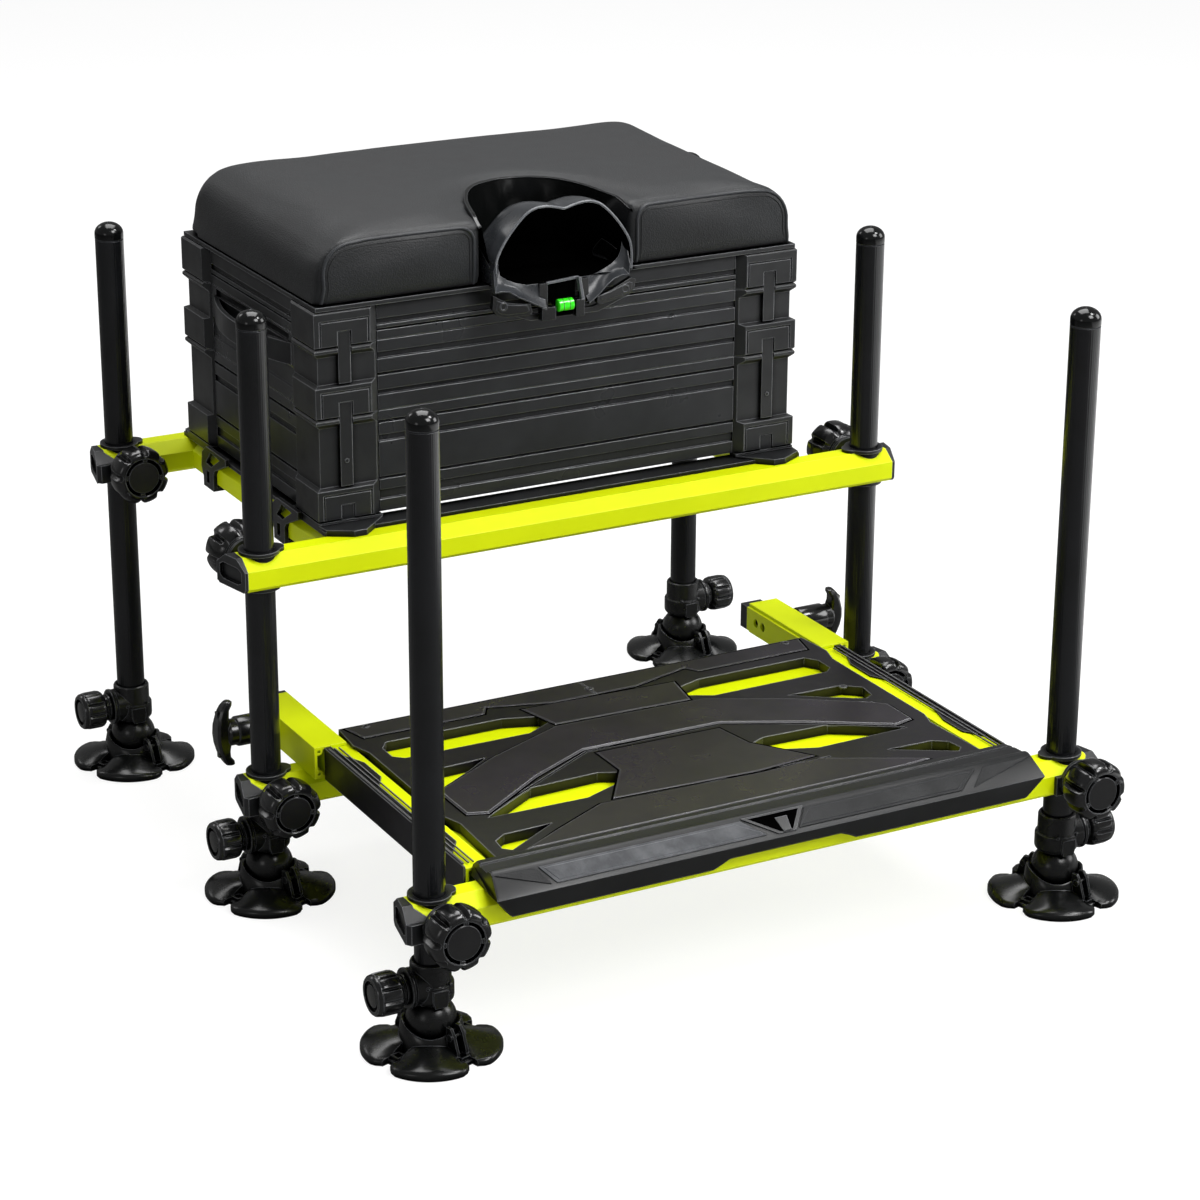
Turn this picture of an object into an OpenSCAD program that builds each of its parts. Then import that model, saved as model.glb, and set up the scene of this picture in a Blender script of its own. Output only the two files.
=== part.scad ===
/* [Overall layout] */
// distance between the left and the right legs
leg_span = 580; // [500:5:680]
// distance from the back of the box to the rear legs' middle line
rear_gap = 11; // [9:0.5:40]
// distance from the front legs to the legs of the footplate
footplate_reach = 313; // [300:1:380]
// height of the top face of the main tubes above the ground
frame_height = 303.5; // [290:0.5:400]

/* [Frame tubes] */
// depth of a cross tube from front to back
tube_depth = 40; // [38:1:46]
// height of a cross tube
tube_height = 27; // [24:1:34]
// wall of the extruded tubes
tube_wall = 2.5; // [2:0.1:3.5]
// depth of the sloping upper corner of a tube
slope_depth = 12; // [8:0.5:13]
// height of the sloping upper corner of a tube
slope_height = 9; // [6:0.5:12]
// small bevel along the lower corners of a tube
low_bevel = 3; // [1:0.5:4]
// length of tube outside the leg axis
tube_overhang = 18; // [16:0.5:24]
// width of a side rail of the main frame
side_rail_width = 28; // [24:1:34]

/* [Leg clamps] */
// thickness of the clamp moulding over the end of a tube
clamp_end = 11; // [6:0.5:14]
// thickness of the cheek under the clamp knob
clamp_cheek = 4; // [3:0.5:6]
// size of the cut corner of the clamp moulding
clamp_corner = 12; // [8:0.5:14]
// half width of the cheek beside the leg
cheek_reach = 20; // [16:1:26]
// radius of the round seat under the knob
seat_ring_r = 17; // [14:0.5:20]
// height of the round seat under the knob
seat_ring_h = 3; // [2:0.5:4]
// radius of a clamp knob over its lobes
knob_r = 25; // [20:0.5:30]
// length of a clamp knob
knob_length = 33; // [26:1:40]
// number of lobes on a clamp knob
knob_lobes = 8; // [6:1:10]
// radius of the scallops between the lobes
scallop_r = 6; // [4:0.5:8]
// radius of the clamping screws
screw_r = 4; // [3:0.5:5]
// radius of the flange of a leg bush
flange_r = 17; // [16:0.5:20]
// thickness of the flange of a leg bush
flange_h = 3; // [2:0.5:4]
// wall of a leg bush
bush_wall = 1.9; // [1.5:0.1:3]

/* [Legs and feet] */
// outer radius of a leg
leg_r = 12.5; // [11:0.5:16]
// wall of a leg
leg_wall = 1.5; // [1:0.1:2.5]
// height of the tops of the four main legs
main_leg_top = 506.5; // [440:0.5:600]
// height of the tops of the two footplate legs
foot_leg_top = 511.5; // [440:0.5:600]
// radius of the ball under a leg
ball_r = 20; // [18:0.5:24]
// height of the ball's centre above the ground
ball_height = 26; // [25.5:0.5:32]
// radius of the lower part of the shoe
shoe_r = 18; // [16.5:0.5:22]
// wall of the sleeve round the leg
sleeve_wall = 3.4; // [2.5:0.1:5]
// height of the shoe above the ball's centre
shoe_height = 50; // [44:1:60]
// radius of the boss on the side of the shoe
boss_r = 15.5; // [12:0.5:18]
// reach of the boss from the leg axis
boss_reach = 22; // [20:0.5:28]
// radius of a foot knob over its lobes
foot_knob_r = 18.5; // [15:0.5:22]
// length of a foot knob
foot_knob_length = 26; // [20:1:32]
// radius of a foot pad
pad_r = 55; // [45:1:65]
// height of the rim of a foot pad
pad_rim = 8; // [5:0.5:12]
// thickness of the web between the pad's lobes
pad_web = 4; // [3:0.5:6]
// half width of one lobe of the pad
lobe_half_width = 25; // [18:0.5:28]
// wall of the socket round the ball
socket_wall = 4; // [3:0.5:6]

/* [Seat box] */
// half of the outer width of the box
box_half_width = 228; // [200:1:250]
// distance from the front legs' axis to the front face of the box
box_front = 20; // [18:0.5:24]
// outer depth of the box
box_depth = 286; // [262:1:290]
// height of the deep bottom unit
deep_height = 87.4; // [70:0.1:120]
// height of the middle unit with the drawer
mid_height = 59.4; // [56:0.1:80]
// height of the shallow top unit
tray_height = 30.5; // [29.5:0.1:40]
// length of a corner casting along the front
arm_front = 58; // [50:1:70]
// length of a corner casting along the side
arm_side = 54; // [48:1:66]
// thickness of a corner casting
casting_wall = 10.5; // [10:0.5:14]
// depth of the recess in the corner castings
recess_depth = 4; // [3:0.5:5]
// height of the thick block at the foot of each unit
block_height = 28.5; // [26:0.5:29.5]
// height of the lip at the top of each unit
lip_height = 3.6; // [3:0.1:5]
// thickness of the extruded panels
panel_wall = 5; // [4:0.5:6]
// depth of the grooves along the panels
groove_depth = 2; // [1:0.1:3]
// thickness of the floors of the units
floor_wall = 2.4; // [2:0.1:4]
// width of the tie straps between the units
strap_width = 11; // [9:0.5:14]
// thickness of the tie straps
strap_wall = 3; // [2:0.1:3.5]
// distance of a tie strap from the side of the box
strap_inset = 27; // [24:0.5:32]

/* [Base frame] */
// thickness of the strips that carry the box
strip_height = 3.5; // [2.5:0.5:5]
// width of the strips that carry the box
strip_width = 24; // [20:1:30]
// height of the corner plates on the strips
plate_height = 4; // [3:0.5:6]
// thickness of the hooks on the side rails
hook_wall = 3.5; // [2.5:0.5:5]
// length of a hook along the rail
hook_length = 57; // [46:1:64]

/* [Drawer] */
// length of the drawer tray
drawer_length = 340; // [240:1:360]
// wall of the drawer tray
drawer_wall = 2.5; // [2:0.1:4]
// height of the drawer tray
drawer_height = 48; // [30:1:50]
// height of the bowed handle
handle_height = 19; // [14:1:22]
// thickness of the bowed handle
handle_wall = 4; // [3:0.5:5]
// distance that the handle bows out of the panel
handle_bow = 17; // [14:0.5:22]

/* [Seat] */
// thickness of the seat base
seat_base_wall = 3.6; // [3:0.1:5]
// distance of the cushion from the sides of the box
cushion_inset = 2; // [1:0.5:6]
// height of the cushion at its edge
cushion_height = 56; // [50:1:70]
// extra height of the cushion in the middle
crown = 2.5; // [1:0.5:5]
// radius of the rounded side edges of the cushion
side_round = 34; // [24:1:44]
// radius of the rounded rear edge of the cushion
rear_round = 26; // [18:1:36]
// angle at which the cushion's rounded rear edge leaves the top
rear_edge_angle = 82; // [75:1:88]
// distance that the cushion's sides draw in at the base
draw_in = 3; // [1:0.5:5]
// half width of the scoop in the front of the seat
scoop_half_width = 72; // [60:1:80]
// depth of the scoop from front to back
scoop_depth = 100; // [80:1:110]
// height of the hood's rim above the base of the cushion
hood_height = 61; // [50:1:64]
// depth of the hood from its rim to its back
hood_depth = 56; // [40:1:64]
// wall of the hood and of the rim along the cushion
hood_shell = 3.5; // [2.5:0.5:5]
// wall of the scoop moulding
scoop_wall = 9; // [6:0.5:12]
// sideways place of the scoop
scoop_offset = -4; // [-6:0.5:6]
// radius of the spirit level
vial_r = 5.5; // [4:0.5:6]
// length of the spirit level
vial_length = 16; // [12:0.5:17]
// radius of the seat hinge's knuckles
knuckle_r = 4; // [3.5:0.5:5]
// radius of the seat hinge's pins
hinge_pin_r = 2; // [1.5:0.1:2.5]

/* [Footplate] */
// height of the top of the footplate's front tube
front_tube_top = 128.5; // [124:0.5:136]
// depth of the bracket's tube below the footplate's front tube
bracket_drop = 20; // [16:0.5:24]
// width of a bracket channel
channel_width = 29; // [27:0.5:34]
// height of a bracket channel
channel_height = 28; // [27:0.5:34]
// length of a bracket channel
channel_length = 124; // [110:1:140]
// distance of a channel's outer face from the middle
channel_outer = 260; // [258:0.5:266]
// wall of a bracket channel
channel_wall = 2.5; // [2:0.1:3.5]
// width of a sliding rail
slide_rail_width = 21; // [18:0.5:22]
// distance of a sliding rail's outer face from the middle
slide_rail_outer = 249.5; // [246:0.5:250]
// thickness of the sheet under the deck
sheet_wall = 2; // [1.5:0.1:3]
// thickness of the moulded deck
deck_height = 9; // [6:0.5:10]
// half width of the moulded deck
deck_half_width = 230; // [220:1:234]
// depth of the moulded deck
deck_depth = 286; // [270:1:287]
// thickness of the side covers
cover_wall = 1.5; // [1:0.1:2.5]
// half length of the toe bar
toe_half_length = 250; // [230:1:260]
// height of the toe bar's top above the front tube
toe_height = 16; // [12:0.5:20]
// distance that the toe bar stands in front of the tube
toe_reach = 14; // [10:0.5:18]
// thickness of the grip pads
grip_wall = 1.6; // [1:0.1:2.5]
// overall height of a wing handle
wing_span = 56; // [44:1:66]
// length of the wing handle's hub
wing_hub_length = 38; // [26:1:44]
// radius of the hub of a wing handle
wing_hub_r = 13; // [10:0.5:15]

/* [Fits] */
// gap between pieces that lie against each other
seat_gap = 0.3; // [0.2:0.05:0.5]
// radial clearance of a sliding or turning fit
fit_gap = 0.06; // [0.03:0.01:0.1]

/* [Hidden] */
$fn = 36;

overrun = 1;
half_span = leg_span / 2;
half_tube = tube_depth / 2;
tube_base = frame_height - tube_height;

// Leg and foot values
sleeve_r = leg_r + fit_gap + sleeve_wall;
shoe_base = ball_height + ball_r * 0.7;
shoe_step = ball_height + shoe_height * 0.66;
shoe_top = ball_height + shoe_height;
leg_seat = ball_height + ball_r + 4 * leg_wall;
boss_height = ball_height + shoe_height * 0.6;
boss_flange_r = boss_r + leg_wall / 2;
boss_flange_h = 2 * leg_wall;
foot_neck = leg_r / 2;
foot_knob_start = boss_reach + foot_neck;
foot_knob_end = foot_knob_start + foot_knob_length;
lobe_count = 4;
lobe_angle = 62;
dimple_r = leg_wall;
pad_crown = ball_height - ball_r / 4;

// Clamp values
cheek_out = half_tube + clamp_cheek;
ring_out = cheek_out + seat_ring_h;
knob_start = ring_out + seat_gap;
knob_end = knob_start + knob_length;
bush_r = leg_r + fit_gap + bush_wall;
flange_nose_r = flange_r / 2;
flange_nose_reach = flange_r - flange_nose_r + leg_wall * 3;
cap_end = tube_overhang + clamp_end;

// Box values
box_rear = box_front + box_depth;
frame_depth = box_rear + rear_gap;
box_middle = box_front + box_depth / 2;
box_base = frame_height + strip_height + plate_height;
unit_gap = 2 * seat_gap;
mid_base = box_base + deep_height + unit_gap;
tray_base = mid_base + mid_height + unit_gap;
tray_top = tray_base + tray_height;
panel_inset = casting_wall - panel_wall;
lip_slope = recess_depth;
edge_bevel = recess_depth / 3;
tab_height = block_height * 0.44;
slot_half = strap_width / 2 + 2 * seat_gap;
deep_groove_shares = [[0.117, 0.215], [0.318, 0.346], [0.692, 0.761], [0.878, 0.906]];
mid_groove_shares = [[0.215, 0.29], [0.497, 0.537], [0.732, 0.833]];
tray_groove_shares = [[0.25, 0.31], [0.41, 0.583]];

// Drawer values
drawer_front = box_front + arm_side + 2 * seat_gap;
drawer_rear = box_rear - arm_side - 2 * seat_gap;
drawer_face = -box_half_width + panel_inset;
handle_base = mid_base + mid_height * 0.53;
handle_margin = handle_height / 2;

// Seat values
seat_base_z = tray_top + unit_gap;
cushion_base = seat_base_z + seat_base_wall + seat_gap;
cushion_half = box_half_width - cushion_inset;
cushion_front = box_front + seat_gap;
cushion_rear = box_rear - cushion_inset;
cushion_length = cushion_rear - cushion_front;
cushion_top = cushion_base + cushion_height;
hinge_y = cushion_rear + knuckle_r + seat_gap;
hinge_z = seat_base_z + seat_base_wall / 2;
hinge_places = [-0.55 * box_half_width, 0.55 * box_half_width];
hinge_length = box_half_width / 5;
corner_r = side_round / 3;
scoop_top = cushion_top - cushion_height / 7;
apron_front = box_front - 2 * scoop_wall + 2 * seat_gap;
apron_wall = scoop_wall / 2;
vial_z = tray_base + tray_height * 0.48;
apron_low = vial_z - 2 * vial_r;
pivot_z = tray_base + tray_height * 0.6;
pivot_x = scoop_half_width * 0.82;
pivot_r = hinge_pin_r;
latch_wall = apron_wall;
outer_chin = scoop_half_width * 0.92;
chin_rise = cushion_height / 5;
latch_y = apron_front + apron_wall / 2 + vial_r + 2 * seat_gap + latch_wall / 2;
lug_wall = 2 * pivot_r;
lug_inner = pivot_x - 2 * lug_wall;

arch_shares = [[0.28, 1], [0.5, 0.93], [0.69, 0.76], [0.81, 0.55], [0.86, 0.34]];
outer_foot_shares = [[0.85, 0]];
inner_foot_shares = [[0.81, 0.2], [0.73, 0.09], [0.58, 0.02]];
hood_side_shares = [[0, 0], [0, 1], [0.5, 0.96], [0.85, 0.66], [1, 0]];

// Footplate values
bracket_top = front_tube_top - bracket_drop;
bracket_base = bracket_top - tube_height;
front_tube_base = front_tube_top - tube_height;
bracket_inner = channel_outer - 2 * channel_wall - channel_width * 1.7;
channel_front = -half_tube - clamp_cheek * 3;
channel_rear = channel_front + channel_length;
channel_base = bracket_top;
channel_top = channel_base + channel_height;
channel_inner = channel_outer - channel_width;
slide_base = channel_base + channel_wall + seat_gap;
slide_top = channel_top - channel_wall - seat_gap;
slide_inner = slide_rail_outer - slide_rail_width;
foot_front = -footplate_reach;
rail_front = foot_front + half_tube;
wing_y = channel_rear - channel_width;
wing_z = channel_base + channel_height / 2;
wing_hub_end = channel_outer + wing_hub_length;
wing_wall = wing_hub_r * 0.85;
cover_outer = slide_rail_outer + cover_wall + seat_gap;
cover_front = rail_front + channel_width;
deck_rear = rail_front + seat_gap + deck_depth + 2 * seat_gap;
sheet_base = slide_top - 4 * sheet_wall + seat_gap;
deck_base = sheet_base + sheet_wall + seat_gap;
deck_top = deck_base + deck_height;
deck_step = slide_top + seat_gap;
deck_line_w = seat_gap * 6;
deck_line_d = seat_gap * 4;
rear_slot_shares = [[0.287, 0.185], [0.417, 0.15], [0.883, 0.15], [0.917, 0.189], [0.917, 0.255],
  [0.883, 0.281], [0.387, 0.285], [0.278, 0.238]];
small_slot_shares = [[0.63, 0.388], [0.857, 0.395], [0.92, 0.437], [0.909, 0.5], [0.87, 0.517],
  [0.739, 0.451]];
mid_slot_shares = [[0.274, 0.654], [0.34, 0.629], [0.61, 0.636], [0.817, 0.741], [0.852, 0.762],
  [0.47, 0.769], [0.296, 0.713]];
front_slot_shares = [[0.678, 0.874], [0.865, 0.878], [0.913, 0.906], [0.922, 0.958], [0.896, 0.979]];
deck_outline_shares = [[0, 0], [0.985, 0], [1, 0.13], [0.975, 0.2], [0.98, 0.7], [0.957, 0.76],
  [0.972, 1], [0, 1]];
deck_line_shares = [[[0, 0.301], [0.287, 0.301]], [[0.287, 0.301], [0.87, 0.552]],
  [[0, 0.484], [0.287, 0.484]], [[0.287, 0.484], [0.835, 0.735]], [[0, 0.839], [0.46, 0.839]],
  [[0.46, 0.839], [0.85, 0.985]], [[0, 0.125], [0.152, 0.122]], [[0.152, 0.122], [0.44, 0.045]]];
cover_edge_shares = [[0, 0.27], [0.08, 0.27], [0.187, 0.74], [0.327, 0.74], [0.406, 0.27],
  [0.654, 0.27], [0.811, 0.7], [0.93, 0.7], [1, 0.22]];

// The outline lies midway between the rear pads and the foot clamp knobs
origin_shift = (footplate_reach + knob_end - frame_depth - pad_r) / 2;

function arc_points(cx, cy, r, a0, a1, n) =
  [for (i = [0:n]) [cx + r * cos(a0 + (a1 - a0) * i / n), cy + r * sin(a0 + (a1 - a0) * i / n)]];

function tube_points(half, high) = [
  [low_bevel - half, 0], [half - low_bevel, 0], [half, low_bevel], [half, high - slope_height],
  [half - slope_depth, high], [slope_depth - half, high], [-half, high - slope_height],
  [-half, low_bevel]];

function casting_points(high, lip, far) = lip ?
  [[far, 0], [edge_bevel, 0], [0, edge_bevel], [0, block_height - recess_depth / 2],
    [recess_depth, block_height], [recess_depth, high - lip_height - lip_slope],
    [0, high - lip_height], [0, high - edge_bevel], [edge_bevel, high], [far, high]] :
  [[far, 0], [edge_bevel, 0], [0, edge_bevel], [0, high - edge_bevel], [edge_bevel, high],
    [far, high]];

function arch_side(shell, feet) =
  [for (p = concat(arch_shares, feet)) [p[0] * (scoop_half_width - shell), p[1] * (hood_height - shell)]];

function arch_points(shell, feet) =
  let (side = arch_side(shell, feet), count = len(side))
    concat([[0, (hood_height - shell) * 0.95]], side,
      [for (i = [1:count]) [-side[count - i][0], side[count - i][1]]]);

function hood_side_points(shell) =
  [for (p = hood_side_shares) [p[0] * (hood_depth - shell), p[1] * (hood_height - shell)]];

function panel_points(high, shares) = concat([[panel_wall, 0], [0, 0]],
  [for (g = shares) each [[0, g[0] * high], [groove_depth, g[0] * high + groove_depth / 4],
    [groove_depth, g[1] * high - groove_depth / 4], [0, g[1] * high]]],
  [[0, high], [panel_wall, high]]);

function half_ellipse(a, b, n) = [for (i = [0:n]) [a * cos(180 * i / n), b * sin(180 * i / n)]];

module placed() {
  translate([0, origin_shift, 0])
    children();
}

module block(low, high) {
  translate(low)
    cube(high - low);
}

module along_x(from, to) {
  translate([from, 0, 0])
    rotate([90, 0, 90])
      linear_extrude(height = to - from)
        children();
}

module along_y(from, to) {
  translate([0, to, 0])
    rotate([90, 0, 0])
      linear_extrude(height = to - from)
        children();
}

module both_sides() {
  children();
  mirror([1, 0, 0])
    children();
}

module side(sign) {
  mirror([sign < 0 ? 1 : 0, 0, 0])
    children();
}

module facing(sign) {
  mirror([0, sign < 0 ? 1 : 0, 0])
    children();
}

// Frame and clamps
module cross_tube(from, to, y, z) {
  translate([0, y, z])
    difference() {
      along_x(from, to)
        polygon(tube_points(half_tube, tube_height));
      along_x(from - overrun, to + overrun)
        translate([0, tube_wall])
          polygon(tube_points(half_tube - tube_wall, tube_height - 2 * tube_wall));
    }
}

module tube_cuts(sign, knob_side, y, z) {
  translate([sign * half_span, y, z])
    side(sign)
      facing(knob_side) {
        translate([0, 0, -overrun])
          cylinder(r = bush_r + fit_gap, h = tube_height + 2 * overrun);
        rotate([-90, 0, 0])
          translate([0, -tube_height / 2, 0])
            cylinder(r = screw_r + fit_gap, h = half_tube + overrun);
        translate([0, 0, -overrun])
          linear_extrude(height = tube_height + 2 * overrun)
            polygon([[tube_overhang + overrun, half_tube + overrun],
              [tube_overhang + overrun, half_tube - clamp_corner + clamp_cheek / 2],
              [tube_overhang, half_tube - clamp_corner + clamp_cheek / 2],
              [tube_overhang - clamp_corner + clamp_cheek / 2, half_tube],
              [tube_overhang - clamp_corner + clamp_cheek / 2, half_tube + overrun]]);
      }
}

module clamp_end_piece(sign, knob_side, y, z) {
  corner_u = tube_overhang - clamp_corner + clamp_cheek / 2 + seat_gap;
  corner_v = half_tube - clamp_corner + clamp_cheek / 2 + seat_gap;
  face_u = tube_overhang + clamp_end / 4;
  face_turn = atan2(cap_end - face_u, tube_depth);
  face_length = norm([cap_end - face_u, tube_depth]);
  pocket_low = tube_height * 0.2;
  pocket_high = tube_height * 0.72;
  translate([sign * half_span, y, z])
    side(sign)
      facing(knob_side)
        difference() {
          union() {
            intersection() {
              linear_extrude(height = tube_height)
                polygon([[tube_overhang, -half_tube], [face_u, -half_tube],
                  [cap_end, half_tube], [cap_end - clamp_end / 4, cheek_out],
                  [-cheek_reach, cheek_out], [-cheek_reach, half_tube], [corner_u, half_tube],
                  [tube_overhang, corner_v]]);
              along_x(-cheek_reach, cap_end)
                union() {
                  polygon(tube_points(half_tube, tube_height));
                  translate([0, low_bevel / 2])
                    square([cheek_out, tube_height - slope_height - low_bevel / 2]);
                }
            }
            translate([0, cheek_out, tube_height / 2])
              rotate([-90, 0, 0])
                cylinder(r = seat_ring_r, h = seat_ring_h);
          }
          translate([0, half_tube - overrun, tube_height / 2])
            rotate([-90, 0, 0])
              cylinder(r = screw_r + fit_gap, h = cheek_out + overrun);
          translate([0, 0, -overrun])
            cylinder(r = flange_r + seat_gap, h = overrun + seat_gap);
          translate([face_u, -half_tube, 0])
            rotate([0, 0, -face_turn])
              along_x(-clamp_end / 4, clamp_end)
                polygon([[face_length * 0.14, pocket_low + clamp_end / 4],
                  [face_length * 0.26, pocket_low], [face_length * 0.78, pocket_low],
                  [face_length * 0.9, pocket_low + clamp_end / 4],
                  [face_length * 0.9, pocket_high - clamp_end / 4], [face_length * 0.78, pocket_high],
                  [face_length * 0.26, pocket_high], [face_length * 0.14, pocket_high - clamp_end / 4]]);
        }
}

module leg_bush(sign, y, z) {
  translate([sign * half_span, y, z])
    difference() {
      union() {
        translate([0, 0, -flange_h])
          cylinder(r = bush_r, h = tube_height + 2 * flange_h);
        for (level = [-flange_h, tube_height])
          translate([0, 0, level])
            linear_extrude(height = flange_h)
              union() {
                circle(r = flange_r);
                translate([-sign * flange_nose_reach, 0])
                  circle(r = flange_nose_r);
              }
      }
      translate([0, 0, -flange_h - overrun])
        cylinder(r = leg_r + fit_gap, h = tube_height + 2 * flange_h + 2 * overrun);
      translate([0, -bush_r - overrun, tube_height / 2])
        rotate([-90, 0, 0])
          cylinder(r = screw_r + fit_gap, h = 2 * bush_r + 2 * overrun);
    }
}

module clamp_knob(sign, knob_side, y, z) {
  translate([sign * half_span, y, z + tube_height / 2])
    facing(knob_side)
      rotate([-90, 0, 0])
        difference() {
          union() {
            translate([0, 0, leg_r + seat_gap])
              cylinder(r = screw_r, h = knob_start);
            translate([0, 0, knob_start])
              rotate_extrude()
                polygon([[0, 0], [knob_r * 0.72, 0], [knob_r * 0.8, knob_length * 0.18],
                  [knob_r * 0.96, knob_length * 0.3], [knob_r, knob_length * 0.5],
                  [knob_r * 0.97, knob_length * 0.86], [knob_r * 0.84, knob_length],
                  [0, knob_length]]);
          }
          for (k = [0:knob_lobes - 1])
            rotate(k * 360 / knob_lobes)
              translate([knob_r + scallop_r * 0.55, 0, knob_start + knob_length * 0.2])
                cylinder(r = scallop_r, h = knob_length);
          translate([0, 0, knob_end - seat_ring_h])
            difference() {
              cylinder(r = knob_r * 0.62, h = seat_ring_h + overrun);
              translate([0, 0, -overrun])
                cylinder(r = knob_r * 0.46, h = seat_ring_h + overrun / 2);
            }
        }
}

module main_front_tube() {
  color("yellowgreen")
    placed()
      difference() {
        cross_tube(-half_span - tube_overhang, half_span + tube_overhang, 0, tube_base);
        for (s = [-1, 1])
          tube_cuts(s, 1, 0, tube_base);
      }
}

module main_rear_tube() {
  color("yellowgreen")
    placed()
      difference() {
        cross_tube(-half_span - tube_overhang, half_span + tube_overhang, frame_depth, tube_base);
        for (s = [-1, 1])
          tube_cuts(s, -1, frame_depth, tube_base);
      }
}

module side_rails() {
  rail_half = side_rail_width / 2;
  rail_slope = slope_depth * rail_half / half_tube;
  rail_points = [[low_bevel - rail_half, 0], [rail_half - low_bevel, 0], [rail_half, low_bevel],
    [rail_half, tube_height - slope_height], [rail_half - rail_slope, tube_height],
    [rail_slope - rail_half, tube_height], [-rail_half, tube_height - slope_height],
    [-rail_half, low_bevel]];
  color("yellowgreen")
    placed()
      for (s = [-1, 1])
        translate([s * (box_half_width + seat_gap - rail_half), 0, tube_base])
          difference() {
            along_y(half_tube, frame_depth - half_tube)
              polygon(rail_points);
            along_y(half_tube - overrun, frame_depth - half_tube + overrun)
              translate([0, tube_wall])
                square([side_rail_width - 3 * tube_wall - rail_slope,
                  2 * (tube_height - 3 * tube_wall - slope_height)], center = true);
          }
}

module main_clamp_ends() {
  color("dimgray")
    placed()
      for (s = [-1, 1]) {
        clamp_end_piece(s, 1, 0, tube_base);
        clamp_end_piece(s, -1, frame_depth, tube_base);
      }
}

module main_bushes() {
  color("black")
    placed()
      for (s = [-1, 1])
        for (y = [0, frame_depth])
          leg_bush(s, y, tube_base);
}

// Base frame and hooks
module base_frame() {
  inner_x = box_half_width - strip_width;
  tab_front = recess_depth - strap_wall;
  color("dimgray")
    placed()
      for (m = [0, 1])
        translate([0, m * 2 * box_middle, 0])
          mirror([0, m, 0])
            both_sides() {
              difference() {
                block([0, box_front - strip_width / 2, frame_height],
                  [box_half_width, box_middle, frame_height + strip_height]);
                block([-overrun, box_front + strip_width / 2, frame_height - overrun],
                  [inner_x, box_middle + overrun, frame_height + strip_height + overrun]);
              }
              block([box_half_width - arm_front, box_front, frame_height],
                [box_half_width, box_front + casting_wall, box_base - seat_gap]);
              block([box_half_width - casting_wall, box_front, frame_height],
                [box_half_width, box_front + arm_side, box_base - seat_gap]);
              translate([0, 0, frame_height])
                linear_extrude(height = strip_height + plate_height / 2)
                  polygon([[box_half_width, box_front],
                    [box_half_width - edge_bevel, box_front - strip_width / 2],
                    [box_half_width - strap_inset + strap_width / 2, box_front - strip_width],
                    [box_half_width - strap_inset - strap_width / 2, box_front - strip_width],
                    [box_half_width - arm_front, box_front]]);
              block([box_half_width - strap_inset - strap_width / 2, box_front + tab_front,
                frame_height],
                [box_half_width - strap_inset + strap_width / 2,
                  box_front + recess_depth - seat_gap, box_base + tab_height]);
            }
}

module base_hooks() {
  hook_top = frame_height + strip_height + plate_height;
  hook_low = tube_base - hook_wall;
  hook_high = hook_top - hook_low;
  hook_outline_shares = [[-0.56, 1], [0.22, 1], [0.4, 0.8], [0.44, 0.44], [0.36, 0.22], [0.36, 0],
    [-0.04, 0], [-0.04, 0.4], [-0.1, 0.53], [-0.56, 0.84]];
  hook_window_shares = [[-0.32, 0.88], [0.05, 0.92], [0.24, 0.6], [0.03, 0.57]];
  hook_face = box_half_width + 2 * seat_gap;
  color("dimgray")
    placed()
      both_sides()
        for (place = [box_front + 0.23 * box_depth, box_front + 0.78 * box_depth])
          translate([0, place, hook_low]) {
            difference() {
              along_x(hook_face, hook_face + hook_wall)
                polygon([for (p = hook_outline_shares) [p[0] * hook_length, p[1] * hook_high]]);
              along_x(hook_face - overrun, hook_face + hook_wall + overrun)
                polygon([for (p = hook_window_shares) [p[0] * hook_length, p[1] * hook_high]]);
              block([hook_face - overrun, hook_length * 0.12, hook_high * 0.12],
                [hook_face + hook_wall + overrun, hook_length * 0.24, hook_high * 0.42]);
            }
            block([hook_face - 3 * hook_wall, -hook_length * 0.04, 0],
              [hook_face, hook_length * 0.36, hook_wall - seat_gap]);
          }
}

// Box units
module corner_casting(high, lip) {
  slot_low = recess_depth + seat_gap;
  pad_half = arm_front * 0.38;
  pad_low = block_height * 0.06;
  pad_high = block_height * 0.74;
  groove = edge_bevel;
  difference() {
    intersection() {
      along_x(0, arm_front)
        polygon(casting_points(high, lip, arm_side));
      rotate([90, 0, 0])
        mirror([0, 0, 1])
          linear_extrude(height = arm_side)
            polygon(casting_points(high, lip, arm_front));
      linear_extrude(height = high)
        polygon([[0, 0], [arm_front - 2 * recess_depth, 0], [arm_front, 1.5 * recess_depth],
          [arm_front, casting_wall], [casting_wall, casting_wall], [casting_wall, arm_side],
          [1.5 * recess_depth, arm_side], [0, arm_side - 2 * recess_depth]]);
    }
    block([strap_inset - slot_half, -overrun, -overrun],
      [strap_inset + slot_half, slot_low, tab_height + 2 * seat_gap]);
    if (lip)
      block([strap_inset - slot_half, -overrun, block_height],
        [strap_inset + slot_half, recess_depth, high + overrun]);
    translate([strap_inset, 0, pad_low])
      difference() {
        block([-pad_half, -overrun, 0], [pad_half, groove / 2, pad_high]);
        block([groove - pad_half, -2 * overrun, -overrun],
          [pad_half - groove, groove, pad_high - groove]);
      }
  }
}

module four_castings(base, high, lip) {
  placed()
    for (m = [0, 1])
      translate([0, m * 2 * box_middle, 0])
        mirror([0, m, 0])
          both_sides()
            translate([-box_half_width, box_front, base])
              corner_casting(high, lip);
}

module front_and_rear_panels(base, high, shares) {
  reach = box_half_width - arm_front - seat_gap;
  placed()
    for (m = [0, 1])
      translate([0, m * 2 * box_middle, 0])
        mirror([0, m, 0])
          translate([0, box_front + panel_inset, base])
            along_x(-reach, reach)
              polygon(panel_points(high, shares));
}

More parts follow.
